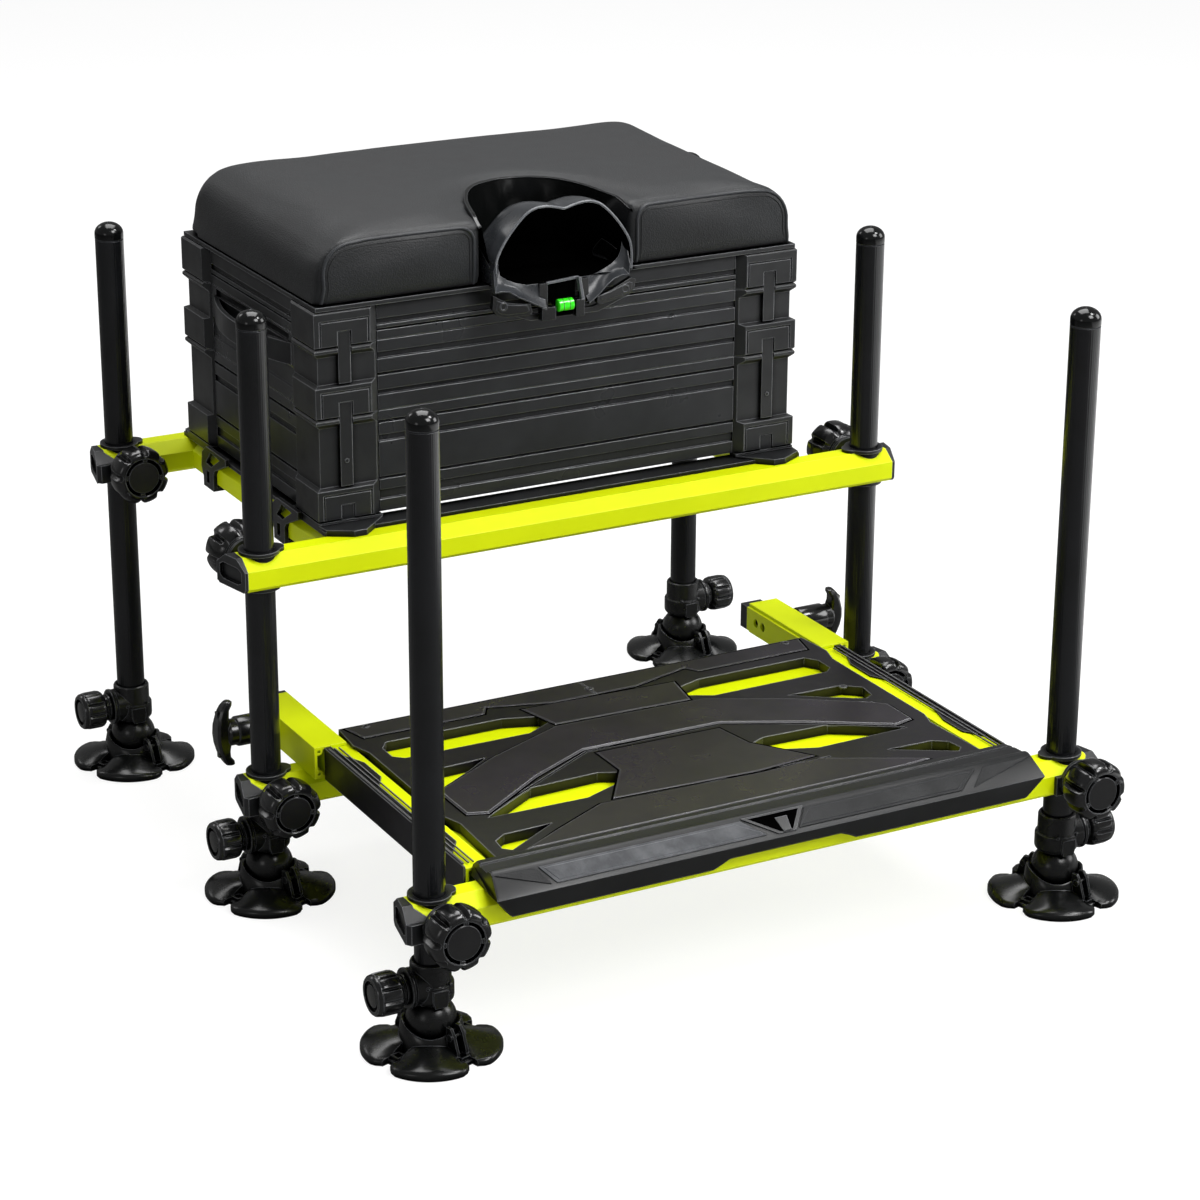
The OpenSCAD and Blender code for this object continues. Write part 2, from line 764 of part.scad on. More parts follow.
module side_panel(sign, base, high, shares) {
  placed()
    side(-sign)
      translate([-box_half_width + panel_inset, 0, base])
        along_y(box_front + arm_side + seat_gap, box_rear - arm_side - seat_gap)
          polygon(panel_points(high, shares));
}

module unit_floor(base) {
  placed()
    block([casting_wall + seat_gap - box_half_width, box_front + casting_wall + seat_gap, base],
      [box_half_width - casting_wall - seat_gap, box_rear - casting_wall - seat_gap,
        base + floor_wall]);
}

module deep_castings() {
  color("dimgray")
    four_castings(box_base, deep_height, true);
}

module deep_panels() {
  color("gray") {
    front_and_rear_panels(box_base, deep_height, deep_groove_shares);
    for (s = [-1, 1])
      side_panel(s, box_base, deep_height, deep_groove_shares);
    unit_floor(box_base);
  }
}

module mid_castings() {
  color("dimgray")
    four_castings(mid_base, mid_height, true);
}

module mid_panels() {
  color("gray") {
    front_and_rear_panels(mid_base, mid_height, mid_groove_shares);
    side_panel(1, mid_base, mid_height, mid_groove_shares);
    unit_floor(mid_base);
  }
}

module tray_castings() {
  color("dimgray")
    four_castings(tray_base, tray_height, false);
}

module tray_panels() {
  color("gray") {
    front_and_rear_panels(tray_base, tray_height, tray_groove_shares);
    for (s = [-1, 1])
      side_panel(s, tray_base, tray_height, tray_groove_shares);
    unit_floor(tray_base);
  }
}

module tie_straps() {
  rivet_r = strap_width / 6;
  rivet_h = strap_wall / 4;
  starts = [box_base + block_height + seat_gap, mid_base + block_height + seat_gap];
  ends = [mid_base + tab_height, tray_base + tab_height];
  color("dimgray")
    placed()
      for (m = [0, 1])
        translate([0, m * 2 * box_middle, 0])
          mirror([0, m, 0])
            both_sides()
              translate([-box_half_width + strap_inset, box_front, 0]) {
                for (k = [0, 1])
                  block([-strap_width / 2, recess_depth - strap_wall, starts[k]],
                    [strap_width / 2, recess_depth - seat_gap / 3, ends[k]]);
                translate([0, recess_depth - strap_wall - rivet_h,
                  starts[0] + deep_height * 0.25])
                  rotate([-90, 0, 0])
                    cylinder(r = rivet_r, h = 2 * rivet_h);
              }
}

// Drawer
module drawer_tray() {
  tray_front = drawer_face + panel_wall;
  tray_z = mid_base + floor_wall + seat_gap;
  face_z = mid_base;
  color("silver")
    placed()
      difference() {
        union() {
          difference() {
            block([tray_front - overrun, drawer_front, tray_z],
              [drawer_face + drawer_length, drawer_rear, tray_z + drawer_height]);
            block([tray_front + drawer_wall, drawer_front + drawer_wall, tray_z + drawer_wall],
              [drawer_face + drawer_length - drawer_wall, drawer_rear - drawer_wall,
                tray_z + drawer_height + overrun]);
          }
          translate([drawer_face, 0, face_z])
            along_y(drawer_front, drawer_rear)
              polygon([[panel_wall, 0], [0, 0], [0, mid_height * 0.2],
                [groove_depth / 2, mid_height * 0.23], [groove_depth / 2, mid_height * 0.49],
                [0, mid_height * 0.52], [0, mid_height], [panel_wall, mid_height]]);
        }
        block([drawer_face - overrun, drawer_front + handle_margin, handle_base + handle_height],
          [drawer_face + panel_wall / 2, drawer_rear - handle_margin,
            mid_base + mid_height - groove_depth]);
      }
}

module drawer_handle() {
  half = (drawer_rear - drawer_front) / 2 - handle_margin / 2;
  bow = handle_bow;
  outer_r = (half * half + bow * bow) / (2 * bow);
  inner_r = outer_r - handle_wall;
  middle = (drawer_front + drawer_rear) / 2;
  face = drawer_face - seat_gap / 3;
  color("dimgray")
    placed()
      difference() {
        translate([face + outer_r - bow, middle, handle_base])
          difference() {
            cylinder(r = outer_r, h = handle_height, $fn = 180);
            translate([0, 0, -overrun])
              cylinder(r = inner_r, h = handle_height + 2 * overrun, $fn = 180);
          }
        block([face, middle - 2 * outer_r, handle_base - overrun],
          [face + 3 * outer_r, middle + 2 * outer_r, handle_base + handle_height + overrun]);
      }
}

// Seat
module seat_base() {
  color("black")
    placed()
      difference() {
        union() {
          block([-cushion_half, cushion_front, seat_base_z],
            [cushion_half, cushion_rear, seat_base_z + seat_base_wall]);
          for (x = hinge_places)
            translate([x, 0, 0]) {
              block([-hinge_length / 6, cushion_rear - overrun, seat_base_z],
                [hinge_length / 6, hinge_y, seat_base_z + seat_base_wall]);
              translate([-hinge_length / 6, hinge_y, hinge_z])
                rotate([0, 90, 0])
                  cylinder(r = knuckle_r, h = hinge_length / 3);
            }
        }
        for (x = hinge_places)
          translate([x - hinge_length / 2, hinge_y, hinge_z])
            rotate([0, 90, 0])
              cylinder(r = hinge_pin_r + fit_gap, h = hinge_length);
      }
}

module seat_hinge() {
  leaf = hinge_length / 2;
  knuckle_x = hinge_length / 6 + seat_gap;
  color("silver")
    placed()
      for (x = hinge_places)
        translate([x, 0, 0]) {
          translate([-leaf, hinge_y, hinge_z])
            rotate([0, 90, 0])
              cylinder(r = hinge_pin_r, h = hinge_length);
          block([-leaf, box_rear - panel_inset + seat_gap / 3, tray_base + tray_height / 4],
            [leaf, box_rear - panel_inset + seat_base_wall / 2, tray_top]);
          for (s = [-1, 1])
            side(s)
              difference() {
                union() {
                  translate([knuckle_x, hinge_y, hinge_z])
                    rotate([0, 90, 0])
                      cylinder(r = knuckle_r, h = leaf - knuckle_x);
                  block([knuckle_x, box_rear - panel_inset + seat_gap / 3,
                    tray_top - knuckle_r],
                    [leaf, hinge_y, tray_top - seat_gap]);
                }
                block([knuckle_x - overrun, cushion_rear - 2 * knuckle_r,
                  seat_base_z - seat_gap],
                  [leaf + overrun, cushion_rear + seat_gap, seat_base_z + knuckle_r + overrun]);
              }
        }
}

module cushion_front_view() {
  edge = cushion_half - side_round;
  polygon(concat(
    [[draw_in - cushion_half, 0], [cushion_half - draw_in, 0],
      [cushion_half, cushion_height * 0.16]],
    arc_points(edge, cushion_height - side_round, side_round, 0, 90, 8),
    [for (i = [1:5]) [edge * (1 - i / 3), cushion_height + crown * (1 - pow(1 - i / 3, 2))]],
    arc_points(-edge, cushion_height - side_round, side_round, 90, 180, 8),
    [[-cushion_half, cushion_height * 0.16]]));
}

module cushion_side_view() {
  fold = draw_in;
  polygon(concat(
    [[draw_in / 2, 0], [0, cushion_height * 0.16], [0, cushion_height - fold]],
    [[fold / 3, cushion_height - fold / 3], [fold, cushion_height]],
    [for (i = [1:6]) [fold + (cushion_length - rear_round - fold) * i / 6,
      cushion_height + crown * (1 - pow(1 - i / 3, 2))]],
    arc_points(cushion_length - rear_round, cushion_height - rear_round, rear_round, rear_edge_angle, 0, 7),
    [[cushion_length - draw_in, 0]]));
}

module seat_cushion() {
  plan = concat(
    arc_points(cushion_half - corner_r, cushion_length - corner_r, corner_r, 0, 90, 4),
    arc_points(corner_r - cushion_half, cushion_length - corner_r, corner_r, 90, 180, 4),
    arc_points(corner_r - cushion_half, corner_r, corner_r, 180, 270, 4),
    arc_points(cushion_half - corner_r, corner_r, corner_r, 270, 360, 4));
  color("darkslategray")
    placed()
      translate([0, cushion_front, cushion_base])
        difference() {
          intersection() {
            along_y(0, cushion_length)
              cushion_front_view();
            along_x(-cushion_half, cushion_half)
              cushion_side_view();
            linear_extrude(height = cushion_height + crown)
              polygon(plan);
          }
          translate([scoop_offset, -overrun, -overrun])
            linear_extrude(height = cushion_height + crown + 2 * overrun)
              polygon(half_ellipse(scoop_half_width, scoop_depth + overrun, 28));
        }
}

module scoop_hood(shell, feet, front) {
  translate([0, 0, cushion_base])
    intersection() {
      along_y(front, cushion_front + hood_depth)
        polygon(arch_points(shell, feet));
      translate([0, cushion_front, 0])
        along_x(-scoop_half_width, scoop_half_width)
          polygon(concat([[front - cushion_front, 0], [front - cushion_front, hood_height - shell]],
            [for (p = hood_side_points(shell)) if (p[1] < hood_height - shell) p]));
    }
}

module scoop_chin() {
  back = apron_front + apron_wall;
  intersection() {
    along_y(apron_front, cushion_front + overrun)
      polygon([[-outer_chin, cushion_base + chin_rise], [outer_chin, cushion_base + chin_rise],
        [outer_chin, cushion_base - scoop_wall / 3], [outer_chin * 0.95, pivot_z - 3 * pivot_r],
        [pivot_x - 4 * pivot_r, pivot_z - 3 * pivot_r], [vial_length * 1.4, apron_low],
        [-vial_length * 1.4, apron_low], [4 * pivot_r - pivot_x, pivot_z - 3 * pivot_r],
        [-outer_chin * 0.95, pivot_z - 3 * pivot_r], [-outer_chin, cushion_base - scoop_wall / 3]]);
    along_x(-outer_chin, outer_chin)
      polygon([[cushion_front + overrun, cushion_base + chin_rise],
        [cushion_front - scoop_wall / 2, cushion_base + chin_rise * 0.8],
        [back + apron_wall / 2, cushion_base], [apron_front, pivot_z + 2 * pivot_r],
        [apron_front, apron_low], [back, apron_low], [back, cushion_base - scoop_wall],
        [cushion_front - seat_gap, cushion_base], [cushion_front + overrun, cushion_base]]);
  }
}

module scoop_footprint(shell, low, high) {
  inset = seat_gap + shell;
  translate([0, cushion_front, low])
    linear_extrude(height = high - low)
      polygon(half_ellipse(scoop_half_width - inset, scoop_depth - inset, 28));
}

module seat_scoop() {
  window_half = vial_length * 0.8;
  color("black")
    placed()
      translate([scoop_offset, 0, 0])
        difference() {
          union() {
            difference() {
              scoop_footprint(0, cushion_base, scoop_top);
              translate([0, -overrun, 0])
                scoop_footprint(hood_shell, cushion_base + hood_shell, scoop_top + overrun);
            }
            intersection() {
              scoop_hood(0, outer_foot_shares, cushion_front);
              scoop_footprint(0, cushion_base, scoop_top + cushion_height);
            }
            scoop_chin();
          }
          translate([0, 0, hood_shell])
            scoop_hood(2 * hood_shell, inner_foot_shares, apron_front - overrun);
          block([-window_half, apron_front - overrun, vial_z + vial_r + leg_wall],
            [window_half, apron_front + apron_wall + overrun, cushion_base - scoop_wall / 6]);
          block([-vial_length / 2 - seat_gap, apron_front - overrun, apron_low - overrun],
            [vial_length / 2 + seat_gap, apron_front + apron_wall + overrun,
              vial_z + vial_r + seat_gap]);
        }
  color("black")
    placed()
      translate([scoop_offset, 0, 0])
        for (s = [-1, 1])
          side(s) {
            block([lug_inner, apron_front + apron_wall - overrun, pivot_z - 1.5 * pivot_r],
              [lug_inner + lug_wall, latch_y + 1.5 * pivot_r, pivot_z + 1.5 * pivot_r]);
            translate([lug_inner, latch_y, pivot_z])
              rotate([0, 90, 0])
                cylinder(r = pivot_r, h = 2 * lug_wall + 2 * seat_gap);
          }
}

module spirit_level() {
  color("lime")
    placed()
      translate([scoop_offset - vial_length / 2, apron_front + apron_wall / 2, vial_z])
        rotate([0, 90, 0])
          cylinder(r = vial_r, h = vial_length);
}

module seat_latch() {
  latch_low = tray_base + latch_wall / 2;
  ear_inner = lug_inner + lug_wall + seat_gap;
  ear_outer = ear_inner + lug_wall;
  color("dimgray")
    placed()
      translate([scoop_offset, latch_y, 0])
        difference() {
          union() {
            along_y(-latch_wall / 2, latch_wall / 2)
              polygon([[-ear_outer, pivot_z], [-ear_outer, pivot_z - 3 * pivot_r],
                [-vial_length * 2, latch_low], [vial_length * 2, latch_low],
                [ear_outer, pivot_z - 3 * pivot_r], [ear_outer, pivot_z], [ear_inner, pivot_z],
                [ear_inner, pivot_z - 2 * pivot_r], [vial_length * 1.6, latch_low + latch_wall],
                [-vial_length * 1.6, latch_low + latch_wall], [-ear_inner, pivot_z - 2 * pivot_r],
                [-ear_inner, pivot_z]]);
            for (s = [-1, 1])
              side(s)
                translate([ear_inner, 0, pivot_z])
                  rotate([0, 90, 0])
                    cylinder(r = 1.8 * pivot_r, h = lug_wall);
          }
          translate([-ear_outer - overrun, 0, pivot_z])
            rotate([0, 90, 0])
              cylinder(r = pivot_r + fit_gap, h = 2 * (ear_outer + overrun));
        }
}

// Legs and feet
module leg(x_sign, y, top) {
  dome = top - leg_r;
  color("black")
    placed()
      translate([x_sign * half_span, y, 0]) {
        difference() {
          translate([0, 0, leg_seat + seat_gap])
            cylinder(r = leg_r, h = dome - leg_seat - 2 * seat_gap);
          translate([0, 0, leg_seat - overrun])
            cylinder(r = leg_r - leg_wall, h = dome);
        }
        difference() {
          union() {
            translate([0, 0, dome])
              intersection() {
                sphere(r = leg_r);
                cylinder(r = leg_r, h = leg_r);
              }
            translate([0, 0, dome - leg_r])
              cylinder(r = leg_r - leg_wall - fit_gap, h = leg_r + seat_gap);
          }
          translate([0, 0, top - dimple_r])
            cylinder(r = dimple_r, h = dimple_r + overrun);
        }
        difference() {
          union() {
            translate([0, 0, ball_height])
              sphere(r = ball_r);
            translate([0, 0, shoe_base])
              rotate_extrude()
                polygon([[0, 0], [shoe_r * 0.8, 0], [shoe_r, shoe_r * 0.2],
                  [shoe_r, shoe_step - shoe_base], [sleeve_r, shoe_step - shoe_base + leg_wall],
                  [sleeve_r, shoe_top - shoe_base], [0, shoe_top - shoe_base]]);
            translate([0, 0, boss_height])
              rotate([0, x_sign * 90, 0]) {
                cylinder(r = boss_r, h = boss_reach);
                translate([0, 0, boss_reach - boss_flange_h])
                  cylinder(r = boss_flange_r, h = boss_flange_h);
              }
          }
          translate([0, 0, leg_seat])
            cylinder(r = leg_r + fit_gap, h = shoe_top);
          translate([0, 0, boss_height])
            rotate([0, x_sign * 90, 0])
              cylinder(r = screw_r + fit_gap, h = boss_reach + overrun);
        }
      }
}

module foot_knob(x_sign, y) {
  color("black")
    placed()
      translate([x_sign * half_span, y, boss_height])
        rotate([0, x_sign * 90, 0])
          difference() {
            union() {
              translate([0, 0, leg_r + 3 * seat_gap])
                cylinder(r = screw_r, h = boss_reach);
              translate([0, 0, boss_reach + seat_gap])
                rotate_extrude()
                  polygon([[0, 0], [foot_knob_r * 0.66, 0], [foot_knob_r * 0.6, foot_neck / 2],
                    [foot_knob_r * 0.66, foot_neck], [foot_knob_r * 0.9, foot_neck * 1.2],
                    [foot_knob_r, foot_neck + foot_knob_length * 0.3],
                    [foot_knob_r, foot_neck + foot_knob_length * 0.75],
                    [foot_knob_r * 0.84, foot_neck + foot_knob_length - seat_gap],
                    [0, foot_neck + foot_knob_length - seat_gap]]);
            }
            for (k = [0:knob_lobes - 1])
              rotate((k + 0.5) * 360 / knob_lobes)
                translate([foot_knob_r + scallop_r * 0.3, 0, foot_knob_start + foot_neck / 3])
                  cylinder(r = scallop_r / 2, h = foot_knob_length);
            translate([0, 0, foot_knob_end - seat_ring_h])
              cylinder(r = foot_knob_r * 0.6, h = seat_ring_h + overrun);
          }
}

module foot_pad(x_sign, y) {
  socket_r = ball_r + seat_gap + socket_wall;
  rim_z = ball_height + socket_wall;
  ear_gap = leg_wall * 2;
  ear_wall = leg_wall * 2;
  color("black")
    placed()
      translate([x_sign * half_span, y, 0])
        difference() {
          union() {
            cylinder(r = pad_r - 2 * pad_web, h = pad_web);
            intersection() {
              rotate_extrude()
                polygon([[0, 0], [pad_r - pad_web / 2, 0], [pad_r, pad_web / 2],
                  [pad_r - pad_web / 4, pad_rim * 0.75], [pad_r - pad_web, pad_rim],
                  [socket_r, pad_crown * 0.85], [0, pad_crown * 0.85]]);
              for (k = [0:lobe_count - 1])
                rotate(lobe_angle + k * 360 / lobe_count)
                  linear_extrude(height = pad_crown)
                    polygon([[0, -lobe_half_width / 3], [socket_r, -lobe_half_width * 0.75],
                      [pad_r * 0.6, -lobe_half_width], [pad_r, -lobe_half_width],
                      [pad_r, lobe_half_width], [pad_r * 0.6, lobe_half_width],
                      [socket_r, lobe_half_width * 0.75], [0, lobe_half_width / 3]]);
            }
            intersection() {
              translate([0, 0, ball_height])
                sphere(r = socket_r);
              cylinder(r = socket_r, h = rim_z);
            }
            rotate(lobe_angle - 180 / lobe_count * 3)
              for (s = [-1, 1])
                translate([0, s * (ear_gap + ear_wall) / 2 - ear_wall / 2, 0])
                  cube([socket_r + 2 * ear_wall, ear_wall, rim_z]);
          }
          translate([0, 0, ball_height])
            sphere(r = ball_r + seat_gap);
          translate([0, 0, ball_height])
            cylinder(r = ball_r + seat_gap, h = ball_r);
        }
}

// Brackets and footplate
module bracket_tubes() {
  color("yellowgreen")
    placed()
      for (s = [-1, 1])
        difference() {
          side(s)
            cross_tube(bracket_inner, half_span + tube_overhang, 0, bracket_base);
          tube_cuts(s, -1, 0, bracket_base);
        }
}

module bracket_channels() {
  boss = channel_wall * 1.3;
  pilot = channel_wall * 0.6;
  color("yellowgreen")
    placed()
      both_sides()
        difference() {
          union() {
            difference() {
              block([channel_inner, channel_front, channel_base],
                [channel_outer, channel_rear, channel_top]);
              block([channel_inner - overrun, channel_front - overrun,
                channel_base + channel_wall],
                [channel_outer - channel_wall, channel_rear + overrun,
                  channel_top - channel_wall]);
            }
            for (z = [channel_base + channel_wall + boss / 2,
              channel_top - channel_wall - boss / 2])
              translate([channel_outer - channel_wall - boss / 2, channel_rear, z])
                rotate([90, 0, 0])
                  cylinder(r = boss, h = channel_length);
          }
          for (z = [channel_base + channel_wall + boss / 2,
            channel_top - channel_wall - boss / 2])
            translate([channel_outer - channel_wall - boss / 2, channel_front + boss, z])
              rotate([90, 0, 0])
                cylinder(r = pilot, h = 2 * boss);
          translate([channel_inner, wing_y, wing_z])
            rotate([0, 90, 0])
              cylinder(r = screw_r + fit_gap, h = channel_width + overrun);
        }
}

module bracket_fittings() {
  color("dimgray")
    placed()
      for (s = [-1, 1]) {
        clamp_end_piece(s, -1, 0, bracket_base);
        leg_bush(s, 0, bracket_base);
      }
}

module wing_handle(sign) {
  color("black")
    placed()
      side(sign)
        translate([0, wing_y, wing_z]) {
          translate([slide_rail_outer + seat_gap, 0, 0])
            rotate([0, 90, 0])
              cylinder(r = screw_r, h = wing_hub_end - slide_rail_outer - seat_gap);
          translate([channel_outer + seat_gap, 0, 0])
            rotate([0, 90, 0])
              rotate_extrude()
                polygon([[0, 0], [wing_hub_r * 0.8, 0], [wing_hub_r * 0.8, wing_hub_r / 3],
                  [wing_hub_r, wing_hub_r / 2], [wing_hub_r, wing_hub_length - seat_gap],
                  [0, wing_hub_length - seat_gap]]);
          along_y(-wing_hub_r * 0.6, wing_hub_r * 0.6)
            polygon([[wing_hub_end - seat_gap, -wing_span * 0.34],
              [wing_hub_end - wing_wall / 2, -wing_span / 2],
              [wing_hub_end + wing_wall * 0.3, -wing_span * 0.46],
              [wing_hub_end + wing_wall * 0.9, -wing_span * 0.25],
              [wing_hub_end + wing_wall, 0],
              [wing_hub_end + wing_wall * 0.9, wing_span * 0.25],
              [wing_hub_end + wing_wall * 0.3, wing_span * 0.46],
              [wing_hub_end - wing_wall / 2, wing_span / 2],
              [wing_hub_end - seat_gap, wing_span * 0.34]]);
        }
}

module footplate_frame() {
  hole_r = screw_r;
  color("yellowgreen")
    placed() {
      difference() {
        cross_tube(-half_span - tube_overhang, half_span + tube_overhang, foot_front,
          front_tube_base);
        for (s = [-1, 1])
          tube_cuts(s, -1, foot_front, front_tube_base);
      }
      both_sides()
        difference() {
          block([slide_inner, rail_front, slide_base],
            [slide_rail_outer, channel_rear - seat_gap, slide_top]);
          block([slide_inner + tube_wall, rail_front - overrun, slide_base + tube_wall],
            [slide_rail_outer - tube_wall, channel_rear + overrun, slide_top - tube_wall]);
          for (place = [2, 3.5])
            translate([slide_inner - overrun, channel_rear - place * 2 * hole_r, wing_z])
              rotate([0, 90, 0])
                cylinder(r = hole_r, h = tube_wall + 2 * overrun);
        }
      block([-slide_inner, rail_front, sheet_base],
        [slide_inner, deck_rear - sheet_wall, sheet_base + sheet_wall]);
    }
}

module rail_caps() {
  color("black")
    placed()
      both_sides()
        block([slide_inner, channel_rear, slide_base],
          [slide_rail_outer, channel_rear + clamp_end, slide_top]);
}

module deck_half_outline(inset) {
  polygon([for (p = deck_outline_shares)
    [max(p[0] * deck_half_width - inset, 0), deck_rear - p[1] * deck_depth]]);
}

module footplate_deck() {
  color("dimgray")
    placed()
      both_sides()
        difference() {
          union() {
            translate([0, 0, deck_step])
              linear_extrude(height = deck_top - deck_step)
                deck_half_outline(0);
            intersection() {
              block([0, rail_front, deck_base],
                [slide_inner - seat_gap, deck_rear, deck_step + overrun]);
              translate([0, 0, deck_base])
                linear_extrude(height = deck_step - deck_base)
                  deck_half_outline(0);
            }
          }
          for (slot = [rear_slot_shares, small_slot_shares, mid_slot_shares, front_slot_shares])
            translate([0, 0, deck_base - overrun])
              linear_extrude(height = deck_height + 2 * overrun)
                polygon([for (p = slot)
                  [p[0] * deck_half_width, deck_rear - p[1] * deck_depth]]);
          for (line = deck_line_shares) {
            from = [line[0][0] * deck_half_width, deck_rear - line[0][1] * deck_depth];
            to = [line[1][0] * deck_half_width, deck_rear - line[1][1] * deck_depth];
            translate([from[0], from[1], deck_top - deck_line_d])
              rotate(atan2(to[1] - from[1], to[0] - from[0]))
                translate([-overrun / 2, -deck_line_w / 2, 0])
                  cube([norm(to - from) + overrun, deck_line_w, deck_line_d + overrun]);
          }
        }
}

module side_covers() {
  length = channel_front - cover_front - seat_gap;
  width = cover_outer - slide_inner;
  color("black")
    placed()
      both_sides() {
        block([slide_rail_outer + seat_gap, rail_front + seat_gap, bracket_top - leg_wall],
          [cover_outer, channel_front - seat_gap, slide_top + seat_gap + cover_wall]);
        translate([0, 0, slide_top + seat_gap])
          linear_extrude(height = cover_wall)
            polygon(concat([for (p = cover_edge_shares)
              [cover_outer - p[1] * width, channel_front - seat_gap - p[0] * length]],
              [[cover_outer, cover_front], [cover_outer, channel_front - seat_gap]]));
      }
}

module toe_bar() {
  back = rail_front - seat_gap;
  front = foot_front - half_tube - seat_gap;
  nose = front - toe_reach;
  bar_top = front_tube_top + toe_height;
  crease = front_tube_top + seat_gap;
  foot = front_tube_base + tube_height * 0.33;
  notch = toe_half_length * 0.2;
  color("black")
    placed()
      difference() {
        intersection() {
          along_x(-toe_half_length, toe_half_length)
            polygon([[back, crease], [back, deck_top], [back - toe_height / 2, bar_top - toe_reach / 8],
              [front + toe_reach / 2, bar_top], [nose, crease + toe_height / 16],
              [nose + toe_reach / 3, foot], [front, foot], [front, crease]]);
          linear_extrude(height = bar_top + overrun)
            polygon([[-toe_half_length + toe_reach / 3, back + overrun], [toe_half_length - toe_reach / 3,
              back + overrun], [toe_half_length, nose - overrun], [-toe_half_length, nose - overrun]]);
          along_y(nose - overrun, back + overrun)
            polygon([[-toe_half_length, crease], [-toe_half_length + toe_height / 2, bar_top],
              [toe_half_length - toe_height / 2, bar_top], [toe_half_length, crease],
              [toe_half_length - toe_reach, foot], [toe_reach - toe_half_length, foot]]);
        }
        along_y(nose - overrun, front + overrun)
          polygon([[-notch - toe_reach, foot - overrun], [-notch, foot + toe_height / 2],
            [notch, foot + toe_height / 2], [notch + toe_reach, foot - overrun]]);
      }
}

module toe_grips() {
  front = foot_front - half_tube - seat_gap;
  nose = front - toe_reach;
  bar_top = front_tube_top + toe_height;
  crease = front_tube_top + seat_gap + toe_height / 16;
  run = front + toe_reach / 2 - nose;
  rise = bar_top - crease;
  slant = norm([run, rise]);
  margin = slant / 12;
  color("gray")
    placed()
      for (s = [-1, 1])
        translate([0, nose, crease])
          rotate([atan2(rise, run), 0, 0])
            side(s)
              translate([0, 0, seat_gap / 3])
                linear_extrude(height = grip_wall)
                  polygon([[toe_half_length * 0.06, slant - margin],
                    [toe_half_length * 0.8, slant - margin], [toe_half_length * 0.76, margin],
                    [toe_half_length * 0.14, margin]]);
}

module footplate_fittings() {
  color("dimgray")
    placed()
      for (s = [-1, 1]) {
        clamp_end_piece(s, -1, foot_front, front_tube_base);
        leg_bush(s, foot_front, front_tube_base);
      }
}

module clamp_knob_at(sign, knob_side, y, z) {
  color("black")
    placed()
      clamp_knob(sign, knob_side, y, z);
}

main_front_tube();
main_rear_tube();
side_rails();
main_clamp_ends();
main_bushes();
base_frame();
base_hooks();
deep_castings();
deep_panels();
mid_castings();
mid_panels();
tray_castings();
tray_panels();
tie_straps();
drawer_tray();
drawer_handle();
seat_base();
seat_cushion();
seat_scoop();
spirit_level();
seat_latch();
seat_hinge();
leg(-1, frame_depth, main_leg_top);  // leg_rear_left
leg(1, frame_depth, main_leg_top);  // leg_rear_right
leg(-1, 0, main_leg_top);  // leg_front_left
leg(1, 0, main_leg_top);  // leg_front_right
leg(-1, foot_front, foot_leg_top);  // leg_foot_left
leg(1, foot_front, foot_leg_top);  // leg_foot_right
foot_pad(-1, frame_depth);  // pad_rear_left
foot_pad(1, frame_depth);  // pad_rear_right
foot_pad(-1, 0);  // pad_front_left
foot_pad(1, 0);  // pad_front_right
foot_pad(-1, foot_front);  // pad_foot_left
foot_pad(1, foot_front);  // pad_foot_right
foot_knob(-1, frame_depth);  // foot_knob_rear_left
foot_knob(1, frame_depth);  // foot_knob_rear_right
foot_knob(-1, 0);  // foot_knob_front_left
foot_knob(1, 0);  // foot_knob_front_right
foot_knob(-1, foot_front);  // foot_knob_foot_left
foot_knob(1, foot_front);  // foot_knob_foot_right
clamp_knob_at(-1, -1, frame_depth, tube_base);  // clamp_knob_rear_left
clamp_knob_at(1, -1, frame_depth, tube_base);  // clamp_knob_rear_right
clamp_knob_at(-1, 1, 0, tube_base);  // clamp_knob_front_left
clamp_knob_at(1, 1, 0, tube_base);  // clamp_knob_front_right
clamp_knob_at(-1, -1, 0, bracket_base);  // clamp_knob_bracket_left
clamp_knob_at(1, -1, 0, bracket_base);  // clamp_knob_bracket_right
clamp_knob_at(-1, -1, foot_front, front_tube_base);  // clamp_knob_foot_left
clamp_knob_at(1, -1, foot_front, front_tube_base);  // clamp_knob_foot_right
wing_handle(-1);  // wing_handle_left
wing_handle(1);  // wing_handle_right
bracket_tubes();
bracket_channels();
bracket_fittings();
footplate_frame();
footplate_deck();
side_covers();
toe_bar();
toe_grips();
footplate_fittings();
rail_caps();
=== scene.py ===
"""Dressed model of an angler's seat box with footplate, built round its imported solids.

Sizes in the classes are millimetres in the measuring frame of the solids: X to the right of the
picture, Y away from the camera with zero at the front legs, Z up from the ground.
"""

import logging
import math
from dataclasses import dataclass, field
from enum import Enum
from typing import Callable, Sequence

import bmesh
import bpy
from mathutils import Matrix, Vector
from mathutils.bvhtree import BVHTree


